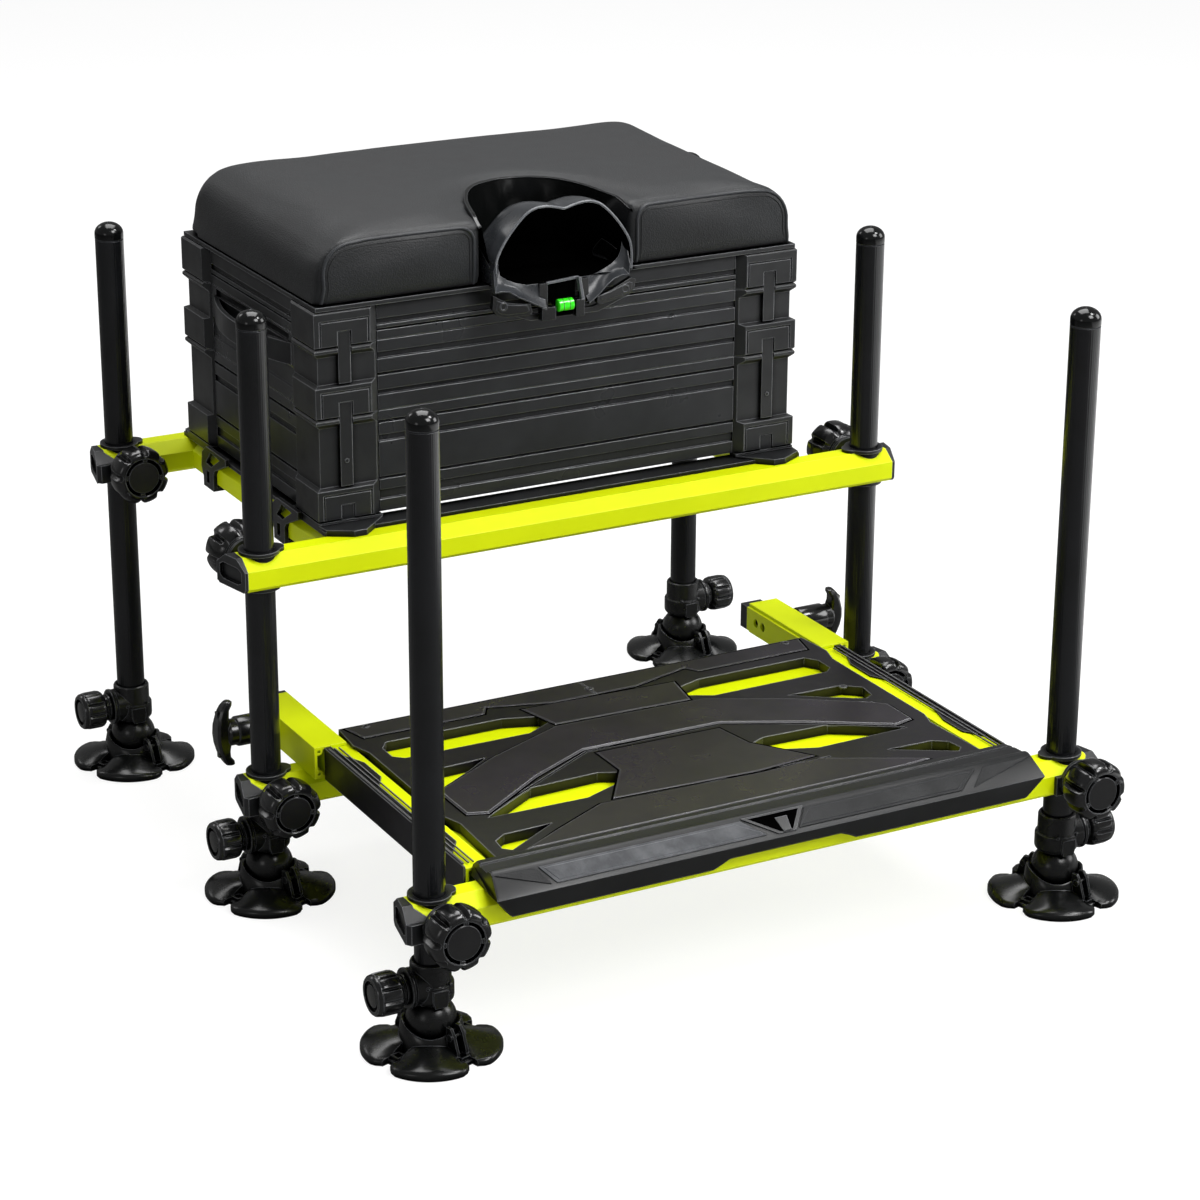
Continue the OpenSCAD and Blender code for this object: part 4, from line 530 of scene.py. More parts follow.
@dataclass
class Form:
    """Collects the faces of one piece, in measuring millimetres.

    Attributes:
        verts: Corners of the piece.
        faces: Corner numbers of each face.
        tints: Number of each face's finish.
    """

    verts: list[Vector] = field(default_factory=list)
    faces: list[tuple[int, ...]] = field(default_factory=list)
    tints: list[int] = field(default_factory=list)

    def add(self, points: Sequence[Point | Vector], faces: Sequence[Sequence[int]],
            tint: int = 0, at: Matrix | None = None) -> None:
        """Adds corners and faces.

        Args:
            points: New corners in local millimetres.
            faces: Faces by corner number, counted from the first new corner.
            tint: Number of the finish.
            at: Place of the local frame.
        """
        start = len(self.verts)
        turn = at or Matrix.Identity(4)
        self.verts += [turn @ Vector(p) for p in points]
        self.faces += [tuple(start + i for i in f) for f in faces]
        self.tints += [tint] * len(faces)

    def loft(self, rings: Sequence[Sequence[Point | Vector]], tint: int = 0,
            at: Matrix | None = None, closed: bool = True,
            caps: tuple[bool, bool] = (True, True)) -> None:
        """Skins rings of equal length.

        Args:
            rings: Rings of corners in order.
            tint: Number of the finish.
            at: Place of the local frame.
            closed: True where each ring closes on itself.
            caps: Whether the first and the last ring get a face.
        """
        n = len(rings[0])
        points = [p for ring in rings for p in ring]
        faces: list[tuple[int, ...]] = []
        span = n if closed else n - 1
        for k in range(len(rings) - 1):
            for i in range(span):
                j = (i + 1) % n
                faces.append((k * n + i, k * n + j, (k + 1) * n + j, (k + 1) * n + i))
        if caps[0]:
            faces.append(tuple(range(n - 1, -1, -1)))
        if caps[1]:
            last = (len(rings) - 1) * n
            faces.append(tuple(last + i for i in range(n)))
        self.add(points, faces, tint, at)

    def turn(self, profile: Sequence[tuple[float, float]], steps: int = 48, tint: int = 0,
            at: Matrix | None = None,
            swell: Callable[[float, int], float] | None = None,
            lift: Callable[[float, int], float] | None = None) -> None:
        """Turns a profile round the local Z axis.

        Args:
            profile: Radius and height of each ring.
            steps: Corners round each ring.
            tint: Number of the finish.
            at: Place of the local frame.
            swell: Factor on the radius by angle and ring number.
            lift: Height added by angle and ring number.
        """
        rings = []
        for k, (r, z) in enumerate(profile):
            ring = []
            for i in range(steps):
                a = 2 * math.pi * i / steps
                rr = r * (swell(a, k) if swell else 1.0)
                zz = z + (lift(a, k) if lift else 0.0)
                ring.append((rr * math.cos(a), rr * math.sin(a), zz))
            rings.append(ring)
        self.loft(rings, tint, at)

    def prism(self, outline: Sequence[tuple[float, float]], low: float, high: float,
            tint: int = 0, at: Matrix | None = None) -> None:
        """Raises an outline along the local Z axis.

        Args:
            outline: Corners of the outline.
            low: Height of its lower face.
            high: Height of its upper face.
            tint: Number of the finish.
            at: Place of the local frame.
        """
        rings = [[(x, y, low) for x, y in outline], [(x, y, high) for x, y in outline]]
        self.loft(rings, tint, at)

    def block(self, low: Point, high: Point, tint: int = 0, at: Matrix | None = None) -> None:
        """Adds a plain rib or plate between two corners.

        Args:
            low: Lowest corner.
            high: Highest corner.
            tint: Number of the finish.
            at: Place of the local frame.
        """
        outline = [(low[0], low[1]), (high[0], low[1]), (high[0], high[1]), (low[0], high[1])]
        self.prism(outline, low[2], high[2], tint, at)

    def shape(self, name: str, finishes: Sequence[Finish], body: str,
            stands_for: Sequence[str] = (), crease: float = 32.0, round_mm: float = 0.0,
            divide: int = 0, weld_mm: float = 0.0) -> bpy.types.Object:
        """Turns the collected faces into a piece of the scene.

        Args:
            name: Name of the piece.
            finishes: Finishes by tint number.
            body: CAD body that it rides on.
            stands_for: CAD nodes that it replaces.
            crease: Angle in degrees above which an edge stays sharp.
            round_mm: Radius of a real rounding along sharp edges.
            divide: Levels of subdivision.
            weld_mm: Distance within which corners are joined.

        Returns:
            The new piece.
        """
        mesh = bpy.data.meshes.new(name)
        shift = Vector((0.0, SHIFT, 0.0))
        mesh.from_pydata([(v + shift) * MM for v in self.verts], [], self.faces)
        for finish in finishes:
            mesh.materials.append(finish.make())
        mesh.polygons.foreach_set("material_index", self.tints)
        work = bmesh.new()
        work.from_mesh(mesh)
        if weld_mm > 0:
            bmesh.ops.remove_doubles(work, verts=work.verts, dist=weld_mm * MM)
        bmesh.ops.recalc_face_normals(work, faces=work.faces)
        for edge in work.edges:
            if len(edge.link_faces) == 2:
                edge.smooth = edge.calc_face_angle(0.0) < math.radians(crease)
        for face in work.faces:
            face.smooth = True
        work.to_mesh(mesh)
        work.free()
        piece = bpy.data.objects.new(name, mesh)
        bpy.context.scene.collection.objects.link(piece)
        if round_mm > 0:
            soften = piece.modifiers.new("rounded edges", "BEVEL")
            soften.width = round_mm * MM
            soften.segments = 2
            soften.limit_method = "ANGLE"
            soften.angle_limit = math.radians(crease)
            soften.harden_normals = True
        if divide:
            finer = piece.modifiers.new("subdivision", "SUBSURF")
            finer.levels = finer.render_levels = divide
        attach(piece, body)
        if stands_for:
            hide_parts(*stands_for)
        LOG.info("built %s", name)
        return piece


def axis_frame(origin: Point, forward: Point, up: Point = (0.0, 0.0, 1.0)) -> Matrix:
    """Makes a local frame whose Z axis points forward.

    Args:
        origin: Place of the frame in measuring millimetres.
        forward: Direction of the local Z axis.
        up: Rough direction of the local Y axis.

    Returns:
        Matrix from local to measuring millimetres.
    """
    z = Vector(forward).normalized()
    x = Vector(up).cross(z).normalized()
    y = z.cross(x)
    turn = Matrix((x, y, z)).transposed().to_4x4()
    return Matrix.Translation(Vector(origin)) @ turn


def flowing(points: Sequence[Point], parts: int) -> list[Point]:
    """Runs a smooth line through a row of points.

    Args:
        points: Points in order.
        parts: Pieces that each step is split into.

    Returns:
        Points of the smooth line.
    """
    out: list[Point] = []
    rows = [Vector(p) for p in points]
    for i in range(len(rows) - 1):
        a, b, c, d = (rows[min(max(i + k, 0), len(rows) - 1)] for k in (-1, 0, 1, 2))
        for k in range(parts):
            t = k / parts
            out.append(tuple(0.5 * (2 * b + (c - a) * t + (2 * a - 5 * b + 4 * c - d) * t * t
                + (3 * b - a - 3 * c + d) * t ** 3)))
    out.append(tuple(rows[-1]))
    return out


def ease(value: float, low: float, high: float) -> float:
    """Blends smoothly from 0 to 1.

    Args:
        value: Value to place between the two ends.
        low: End where the blend is 0.
        high: End where the blend is 1.

    Returns:
        Share from 0 to 1.
    """
    t = min(max((value - low) / (high - low), 0.0), 1.0)
    return t * t * (3 - 2 * t)


@dataclass
class LegSet:
    """Six round legs with end caps, ball shoes and their bosses.

    Attributes:
        tops: Height of the legs' tops by row.
        radius: Radius of the tube.
        flutes: Number of fine lines round the tube.
        flute_depth: Depth of the fine lines.
        ball_height: Height of the ball's centre over the ground.
    """

    tops: dict[str, float] = field(default_factory=lambda: {
        "rear": 506.5, "front": 506.5, "foot": 511.5})
    radius: float = 12.5
    flutes: int = 40
    flute_depth: float = 0.16
    ball_height: float = 26.0

    def tube(self, form: Form, at: Matrix, top: float) -> None:
        """Adds the fluted tube and its domed cap.

        Args:
            form: Form that takes the faces.
            at: Place of the leg on the ground.
            top: Height of the leg's top.
        """
        r = self.radius
        form.turn([(r - 1.5, 60.0), (r - 0.1, 60.0), (r - 0.1, top - 15.4), (r - 0.9, top - 15.0),
            (r - 0.9, top - 14.4)], 160, 0, at,
            swell=lambda a, k: 1.0 - self.flute_depth / r * (0.5 + 0.5 * math.cos(a * self.flutes)))
        dome = [(r - 0.9, top - 14.6), (r, top - 14.3), (r + 0.05, top - 9.5)]
        dome += [(r * math.cos(math.radians(a)), top - 9.6 + 9.6 * math.sin(math.radians(a)))
            for a in (12, 26, 40, 54, 66, 76, 83)]
        dome += [(1.1, top - 0.05), (0.9, top - 0.7), (0.05, top - 0.8)]
        form.turn(dome, 48, 1, at)

    def shoe(self, form: Form, at: Matrix, sign: int) -> None:
        """Adds the ball, the shoe round the tube's foot and the knob's boss.

        Args:
            form: Form that takes the faces.
            at: Place of the leg on the ground.
            sign: Side that the boss points to.
        """
        b = self.ball_height
        ball = [(20.0 * math.cos(math.radians(a)), b + 20.0 * math.sin(math.radians(a)))
            for a in range(-88, 50, 9)]
        neck = [(12.6, b + 15.8), (13.0, b + 16.2), (16.4, b + 17.4), (17.7, b + 19.2), (18.0, b + 21.0),
            (18.0, b + 31.5), (17.5, b + 32.6), (16.3, b + 33.0), (16.0, b + 33.6), (16.0, b + 48.0),
            (15.4, b + 49.4), (14.2, b + 50.0), (13.0, b + 49.8), (12.7, b + 47.5)]
        form.turn([(0.05, b - 20.0)] + ball + neck, 56, 2, at)
        out = axis_frame((0.0, 0.0, b + 30.0), (sign, 0.0, 0.0))
        form.turn([(15.5, 2.0), (15.5, 17.6), (14.9, 18.2), (14.9, 18.8), (16.0, 19.2), (16.2, 19.8),
            (16.2, 21.4), (15.6, 21.9), (10.0, 22.0), (9.5, 20.5), (0.05, 20.5)], 48, 2, at @ out)
        for place, high in ((-0.55, 8.0), (0.55, 8.0)):
            rib = axis_frame((0.0, 0.0, b + 25.0), (math.sin(place), -math.cos(place), 0.0))
            form.turn([(1.6, 14.0), (1.6, 18.5), (1.2, 19.0), (0.05, 19.0)], 16, 2,
                at @ Matrix.Translation((0, 0, high)) @ rib)
        clip = axis_frame((0.0, 0.0, b + 26.0), (0.0, -1.0, 0.0))
        form.prism([(-5.0, -9.5), (5.0, -9.5), (6.5, -4.0), (6.5, 4.5), (-6.5, 4.5), (-6.5, -4.0)],
            15.0, 18.7, 2, at @ clip)

    def build(self) -> None:
        """Builds all six legs."""
        for row, y in LEG_ROWS.items():
            for side, sign in SIDES:
                name = f"leg_{row}_{side}"
                at = Matrix.Translation((sign * LEG_SPAN, y, 0.0))
                form = Form()
                self.tube(form, at, self.tops[row])
                self.shoe(form, at, sign)
                form.shape(f"{name}_detailed", [ANODISED_TUBE, GLOSS_ABS, SHOE_NYLON], name,
                    [name], crease=28.0)


@dataclass
class KnobSet:
    """Lobed clamp knobs, fluted foot knobs and the wing handles of the brackets.

    Attributes:
        lobes: Number of lobes of a clamp knob.
        clamp_places: Y, Z and direction along Y of the clamp knobs by row.
        foot_height: Height of the foot knobs over the ground.
        wing_place: Place of the wing handles' screws in the middle plane.
        wing_tilts: Turn of both wing handles in degrees.
    """

    lobes: int = 8
    clamp_places: dict[str, tuple[float, float, int]] = field(default_factory=lambda: {
        "rear": (317.0, 290.0, -1), "front": (0.0, 290.0, 1),
        "bracket": (0.0, 95.0, -1), "foot": (-313.0, 115.0, -1)})
    foot_height: float = 56.0
    wing_place: Point = (0.0, 63.0, 122.5)
    wing_tilts: dict[str, float] = field(default_factory=lambda: {"left": 3.0, "right": 8.0})

    def scallop(self, angle: float, amount: float, count: int, width: float) -> float:
        """Returns the radius factor of a lobed outline.

        Args:
            angle: Angle round the knob in radians.
            amount: Depth of the scallops as a share of the radius.
            count: Number of scallops.
            width: Share of the pitch that a scallop takes.

        Returns:
            Factor on the radius.
        """
        phase = (angle * count / (2 * math.pi)) % 1.0
        away = abs(phase - 0.5) * 2
        dip = 0.0
        if away > 1.0 - width:
            dip = math.sin((away - (1.0 - width)) / width * math.pi / 2) ** 2
        return 1.0 - amount * dip

    def clamp_knob(self, form: Form, at: Matrix) -> None:
        """Adds one clamp knob with its screw.

        Args:
            form: Form that takes the faces.
            at: Place of the leg's axis, with Z out of the tube.
        """
        rings = [(4.0, 13.2), (4.0, 27.4), (16.5, 27.4), (17.5, 28.2), (17.5, 31.0), (19.0, 32.0),
            (22.5, 35.0), (24.4, 39.5), (25.0, 44.0), (25.0, 53.5), (24.2, 56.0), (23.2, 57.6),
            (22.2, 58.8), (20.5, 59.8), (17.6, 60.2), (16.9, 59.8), (16.7, 57.2), (14.8, 57.2),
            (14.4, 59.0), (13.8, 59.6), (4.0, 59.9), (0.05, 59.9)]
        depth = [0, 0, 0, 0, 0, .03, .10, .16, .18, .18, .17, .15, .12, .08, 0, 0, 0, 0, 0, 0, 0, 0]

        def bridge(angle: float, k: int) -> float:
            """Fills the ring groove between its four arcs.

            Args:
                angle: Angle round the knob in radians.
                k: Number of the ring.

            Returns:
                Height added in millimetres.
            """
            if k not in (16, 17):
                return 0.0
            return 2.3 if abs(math.sin(2 * angle)) < 0.32 else 0.0

        form.turn(rings, 144, 0, at,
            swell=lambda a, k: self.scallop(a, depth[k], self.lobes, 0.42), lift=bridge)
        # Painted shade: a near-black ring at the floor of the ring groove.
        form.turn([(14.85, 57.3), (16.65, 57.3)], 72, 1, at)

    def foot_knob(self, form: Form, at: Matrix) -> None:
        """Adds one foot knob with its neck.

        Args:
            form: Form that takes the faces.
            at: Place of the leg's axis at the knob's height, with Z outwards.
        """
        rings = [(4.0, 13.6), (4.0, 22.4), (12.0, 22.4), (12.4, 23.0), (12.4, 24.6), (11.2, 25.2),
            (11.2, 27.0), (12.6, 27.8), (15.0, 29.0), (16.4, 30.6), (17.0, 33.0), (17.0, 43.4),
            (16.7, 45.2), (16.2, 46.0), (16.4, 46.6), (16.0, 48.4), (14.8, 49.8), (13.2, 50.2),
            (12.0, 50.0), (11.6, 47.4), (9.4, 47.4), (9.0, 49.2), (7.6, 49.6), (0.05, 49.6)]
        depth = [0] * 8 + [.02, .06, .10, .10, .08, .03, 0, 0, 0, 0, 0, 0, 0, 0, 0, 0]
        form.turn(rings, 120, 0, at,
            swell=lambda a, k: self.scallop(a, depth[k], 10, 0.36))

    def wing_handle(self, form: Form, at: Matrix, tilt: float) -> None:
        """Adds one wing handle with its hub and screw.

        Args:
            form: Form that takes the faces.
            at: Place of the screw's axis at the middle plane, with Z outwards.
            tilt: Turn of the wing about the screw in degrees.
        """
        form.turn([(4.0, 250.0), (4.0, 260.4), (10.5, 260.4), (10.5, 263.0), (12.4, 264.6),
            (12.9, 266.5), (12.9, 290.0), (12.3, 291.2), (11.4, 291.6), (11.4, 298.0),
            (10.0, 300.0), (0.05, 300.2)], 56, 0, at)
        spun = at @ Matrix.Rotation(math.radians(tilt), 4, "Z")
        rows = ((-28.6, 296.6, 299.0, 3.2), (-28.0, 293.8, 301.4, 4.2), (-24.5, 294.6, 303.8, 5.2),
            (-20.5, 297.8, 305.6, 6.0), (-15.0, 298.2, 307.6, 6.6), (-8.0, 297.0, 309.2, 7.4),
            (0.0, 296.6, 309.8, 7.8), (8.0, 297.0, 309.2, 7.4), (15.0, 298.0, 307.4, 6.6),
            (21.0, 297.2, 305.2, 6.0), (25.0, 294.4, 303.0, 5.2), (28.0, 293.6, 300.2, 4.2),
            (28.6, 296.2, 298.6, 3.2))
        rings = []
        for v, back, front, half in rows:
            edge = min(1.6, (front - back) / 3)
            rings.append([(-half, v, back + edge), (-half + edge, v, back), (half - edge, v, back),
                (half, v, back + edge), (half, v, front - edge * 1.4), (half - edge, v, front),
                (-half + edge, v, front), (-half, v, front - edge * 1.4)])
        form.loft(rings, 0, spun)
        for v in (-15.5, 15.5):
            form.block((-2.4, v - 5.0, 306.0), (2.4, v + 5.0, 308.2 - 0.3), 0, spun)

    def build(self) -> None:
        """Builds every knob and both wing handles."""
        for row, (y, z, out) in self.clamp_places.items():
            for side, sign in SIDES:
                name = f"clamp_knob_{row}_{side}"
                form = Form()
                spin = Matrix.Rotation(math.radians(11 + 17 * sign), 4, "Z")
                self.clamp_knob(form, axis_frame((sign * LEG_SPAN, y, z), (0.0, out, 0.0)) @ spin)
                form.shape(f"{name}_detailed", [KNOB_NYLON, PAINTED_SHADE_AND_MARK_BLACK], name, [name], crease=30.0)
        for row, y in LEG_ROWS.items():
            for side, sign in SIDES:
                name = f"foot_knob_{row}_{side}"
                form = Form()
                self.foot_knob(form,
                    axis_frame((sign * LEG_SPAN, y, self.foot_height), (sign, 0.0, 0.0)))
                form.shape(f"{name}_detailed", [KNOB_NYLON], name, [name], crease=30.0)
        for side, sign in SIDES:
            name = f"wing_handle_{side}"
            form = Form()
            self.wing_handle(form, axis_frame(self.wing_place, (sign, 0.0, 0.0)),
                self.wing_tilts[side])
            form.shape(f"{name}_detailed", [KNOB_NYLON], name, [name], crease=34.0, round_mm=0.5)


@dataclass
class PadSet:
    """Six swivel pads: four petals, webs with drain wells, a ball socket and a clevis.

    Attributes:
        radius: Reach of the petals.
        petal_angles: Direction of each petal in degrees.
        petal_half: Half angle that a petal takes in degrees.
        clevis_angle: Direction of the clevis in degrees.
    """

    radius: float = 55.0
    petal_angles: tuple[float, ...] = (-118.0, -28.0, 62.0, 152.0)
    petal_half: float = 39.5
    clevis_angle: float = -73.0

    def petal(self, form: Form, at: Matrix) -> None:
        """Adds one petal, its axis along the local X axis.

        Args:
            form: Form that takes the faces.
            at: Place of the petal.
        """
        r = self.radius
        steps = 16

        def row(reach: float, squeeze: float, high: float, drop: float) -> list[Point]:
            """Lays one curved row across the petal, lower towards its two sides.

            Args:
                reach: Distance from the pad's centre on the petal's axis.
                squeeze: Factor on the width.
                high: Height on the axis.
                drop: How much lower the two sides lie.

            Returns:
                Points from one side to the other.
            """
            points = []
            for i in range(steps + 1):
                t = -1.0 + 2.0 * i / steps
                a = math.radians(self.petal_half * t)
                bulge = reach - 2.4 * t * t - 5.5 * (max(0.0, abs(t) - 0.7) / 0.3) ** 2
                points.append((bulge * math.cos(a), bulge * math.sin(a) * squeeze, high - drop * t * t))
            return points

        root = [(21.0, 13.5 * (-1.0 + 2.0 * i / steps), 15.4 - 3.0 * (-1.0 + 2.0 * i / steps) ** 2)
            for i in range(steps + 1)]
        crown = row(r - 8.0, 0.95, 9.6, 4.2)
        inner = [tuple(a * 0.5 + b * 0.5 for a, b in zip(p, q)) for p, q in zip(root, crown)]
        inner = [(x, y, z + 0.9) for x, y, z in inner]
        rows = [row(r - 0.8, 0.99, 0.0, 0.0), row(r, 1.0, 1.2, 0.0), row(r, 1.0, 4.6, 0.8),
            row(r - 0.9, 0.99, 6.2, 1.2), row(r - 3.2, 0.98, 7.8, 2.2), crown, inner, root]
        form.loft(rows, 0, at, closed=False, caps=(False, False))
        for end in (0, steps):
            edge = [line[end] for line in rows]
            foot = [(p[0], p[1], 0.0) for p in edge]
            form.loft([edge, foot], 0, at, closed=False, caps=(False, False))
        under = rows[0] + [(21.0, 13.5, 0.0), (21.0, -13.5, 0.0)]
        form.add(under, [tuple(range(len(under)))], 0, at)

    def web(self, form: Form, at: Matrix) -> None:
        """Adds the sunk web between two petals with its drain well.

        Args:
            form: Form that takes the faces.
            at: Place of the web, its middle along the local X axis.
        """
        rings = []
        for high, grow in ((0.0, 0.0), (3.2, 0.0), (4.0, -0.8)):
            ring = []
            for i in range(9):
                a = math.radians(-22.0 + 5.5 * i)
                reach = 43.5 + grow - 3.0 * math.cos(a * 4)
                ring.append((reach * math.cos(a), reach * math.sin(a), high))
            ring += [(20.0, 12.0, high), (20.0, -12.0, high)]
            rings.append(ring)
        form.loft(rings, 0, at)
        wall = [(30.0, -4.6), (38.5, -4.6), (38.5, 4.6), (30.0, 4.6)]
        inner = [(31.4, -3.2), (37.1, -3.2), (37.1, 3.2), (31.4, 3.2)]
        form.loft([[(x, y, 4.0) for x, y in wall], [(x, y, 7.0) for x, y in wall],
            [(x, y, 7.0) for x, y in inner], [(x, y, 4.2) for x, y in inner]], 0, at,
            caps=(False, True))

    def socket(self, form: Form, at: Matrix) -> None:
        """Adds the cup round the ball, with its saddle-shaped rim and the clevis.

        Args:
            form: Form that takes the faces.
            at: Place of the pad on the ground.
        """
        look = math.radians(-118.0)

        def rim(angle: float, k: int) -> float:
            """Lifts the rim at the two sides of the cup.

            Args:
                angle: Angle round the cup in radians.
                k: Number of the ring.

            Returns:
                Height added in millimetres.
            """
            share = (0.0, 0.0, 0.25, 1.0, 1.0, 1.0, 0.2)[k]
            return share * (-4.5 + 9.0 * math.sin(angle - look) ** 2)

        form.turn([(27.0, 0.0), (26.2, 10.0), (25.0, 15.0), (23.8, 22.4), (22.9, 23.4),
            (21.2, 23.0), (20.6, 15.0)], 64, 0, at, lift=rim)
        for turn_by in (0.0, 180.0):
            cheek = at @ Matrix.Rotation(math.radians(self.clevis_angle + turn_by), 4, "Z")
            for s in (-1, 1):
                form.prism([(22.0, 4.0), (35.5, 4.0), (35.0, 10.0), (31.0, 23.0), (27.5, 28.5),
                    (23.0, 28.5)], s * 4.6 - 1.3, s * 4.6 + 1.3, 0,
                    cheek @ Matrix.Rotation(math.radians(90), 4, "X"))
            bolt = cheek @ axis_frame((28.0, 7.4, 21.5), (0.0, -1.0, 0.0))
            form.turn([(2.9, 0.0), (2.9, 1.6), (1.5, 1.8), (1.5, 13.0), (2.9, 13.2), (2.9, 14.8)],
                16, 0, bolt)

    def build(self) -> None:
        """Builds all six pads."""
        for row, y in LEG_ROWS.items():
            for side, sign in SIDES:
                name = f"pad_{row}_{side}"
                form = Form()
                at = Matrix.Translation((sign * LEG_SPAN, y, 0.0))
                for angle in self.petal_angles:
                    self.petal(form, at @ Matrix.Rotation(math.radians(angle), 4, "Z"))
                    self.web(form, at @ Matrix.Rotation(math.radians(angle + 45.0), 4, "Z"))
                self.socket(form, at)
                form.shape(f"{name}_detailed", [SHOE_NYLON], name, [name], crease=40.0)


@dataclass
class SeatCushion:
    """Foam pad under one coated cloth, puffed by a cloth simulation and then sewn.

    Attributes:
        half: Half width of the pad.
        front: Y of its front face.
        rear: Y of its rear face.
        base: Height of its underside.
        top: Height of its top at the front.
        crown: Rise of the top towards the middle.
        tilt: Rise of the top towards the rear.
        side_round: Radius of the side edges.
        rear_round: Radius of the rear edge.
        draw_in: How far the cloth pulls the sides in over the base.
        notch: Half outline of the scoop's opening.
        notch_middle: X of the opening's middle line.
        voxel: Edge of the remeshed cells.
        frames: Number of steps of the simulation.
        pressure: Pressure in the simulation.
        held_band: Heights over the base where the cloth is held fast and where it is free.
        cap: Greatest movement that is kept.
        evening: Number of rounds that even out the movement.
        still_band: Distances from the opening where the cloth keeps still and where it is free.
    """

    half: float = 225.4
    front: float = 20.9
    rear: float = 302.6
    base: float = 494.0
    top: float = 547.6
    crown: float = 3.0
    tilt: float = 7.0
    side_round: float = 34.0
    rear_round: float = 27.0
    draw_in: float = 3.0
    notch: tuple[tuple[float, float], ...] = ((69.5, -20.0), (69.5, 20.0), (67.5, 34.0),
        (63.0, 52.0), (57.5, 70.0), (51.0, 84.0), (43.5, 96.0), (33.0, 107.0), (19.0, 115.5), (0.0, 119.0))
    notch_middle: float = -7.0
    voxel: float = 5.0
    frames: int = 20
    pressure: float = 4.0
    held_band: tuple[float, float] = (2.0, 12.0)
    cap: float = 3.6
    evening: int = 10
    still_band: tuple[float, float] = (2.0, 22.0)

    def outline(self, along: float) -> list[Point]:
        """Returns the section of the pad at one place from front to back.

        Args:
            along: Place in millimetres along Y.

        Returns:
            Ring of corners.
        """
        left = self.rear - along
        r = self.rear_round
        sink = 0.0 if left > r else r - math.sqrt(max(r * r - (r - left) ** 2, 0.0))
        share = (along - self.front) / (self.rear - self.front)
        crown = self.crown * math.sin(math.pi * min(max(share, 0.06), 0.94))
        top = self.top + self.tilt * ease(share, -0.2, 1.1) - sink * 0.92
        half = self.half - sink * 0.28
        r_side = min(self.side_round, top - self.base - 4.0)
        ring = [(half - self.draw_in * 0.2, along, self.base), (half, along, self.base + 2.5),
            (half - self.draw_in, along, self.base + 12.0)]
        for i in range(9):
            a = math.radians(90.0 * i / 8)
            ring.append((half - r_side + (r_side - self.draw_in * (1 - i / 8) ** 2) * math.cos(a), along,
                top - r_side + r_side * math.sin(a)))
        for i in range(1, 9):
            x = (half - r_side) * (1 - i / 8)
            ring.append((x, along, top + crown * (1 - (x / (half - r_side)) ** 2)))
        mirrored = [(-x, y, z) for x, y, z in reversed(ring[:-1])]
        return ring + mirrored

    def blank(self) -> bpy.types.Object:
        """Cuts the foam block with its scoop opening.

        Returns:
            The block, slightly smaller than the finished pad.
        """
        form = Form()
        places = [self.front, self.front + 1.2, self.front + 4.0]
        places += [self.front + 4.0 + (self.rear - self.rear_round - self.front - 4.0) * i / 12
            for i in range(1, 13)]
        places += [self.rear - self.rear_round * (1 - math.sin(math.radians(90 * i / 7)))
            for i in range(1, 8)]
        rings = [self.outline(p) for p in places]
        shrink = (0.965, 0.99, 1.0)
        for k, s in enumerate(shrink):
            rings[k] = [(x * (1 - (1 - s) * 0.35), y, self.base + (z - self.base) * s)
                for x, y, z in rings[k]]
        form.loft(rings)
        block = self.raw("foam block", form)
        cutter = Form()
        shape = [(self.notch_middle + x, y) for x, y in self.notch]
        shape += [(self.notch_middle - x, y) for x, y in reversed(self.notch[:-1])]
        cutter.prism(shape, self.base - 20.0, self.top + 40.0)
        knife = self.raw("knife", cutter)
        cut = block.modifiers.new("opening", "BOOLEAN")
        cut.object = knife
        cut.operation = "DIFFERENCE"
        cut.solver = "EXACT"
        self.settle(block)
        bpy.data.objects.remove(knife)
        return block

    def raw(self, name: str, form: Form) -> bpy.types.Object:
        """Makes a plain working object from a form.

        Args:
            name: Name of the object.
            form: Form with its faces.

        Returns:
            The object in the scene.
        """
        mesh = bpy.data.meshes.new(name)
        shift = Vector((0.0, SHIFT, 0.0))
        mesh.from_pydata([(v + shift) * MM for v in form.verts], [], form.faces)
        work = bmesh.new()
        work.from_mesh(mesh)
        bmesh.ops.recalc_face_normals(work, faces=work.faces)
        work.to_mesh(mesh)
        work.free()
        made = bpy.data.objects.new(name, mesh)
        bpy.context.scene.collection.objects.link(made)
        return made

    def settle(self, piece: bpy.types.Object) -> None:
        """Applies every modifier of a piece to its mesh.

        Args:
            piece: Object with modifiers.
        """
        graph = bpy.context.evaluated_depsgraph_get()
        done = bpy.data.meshes.new_from_object(piece.evaluated_get(graph))
        piece.modifiers.clear()
        piece.data = done

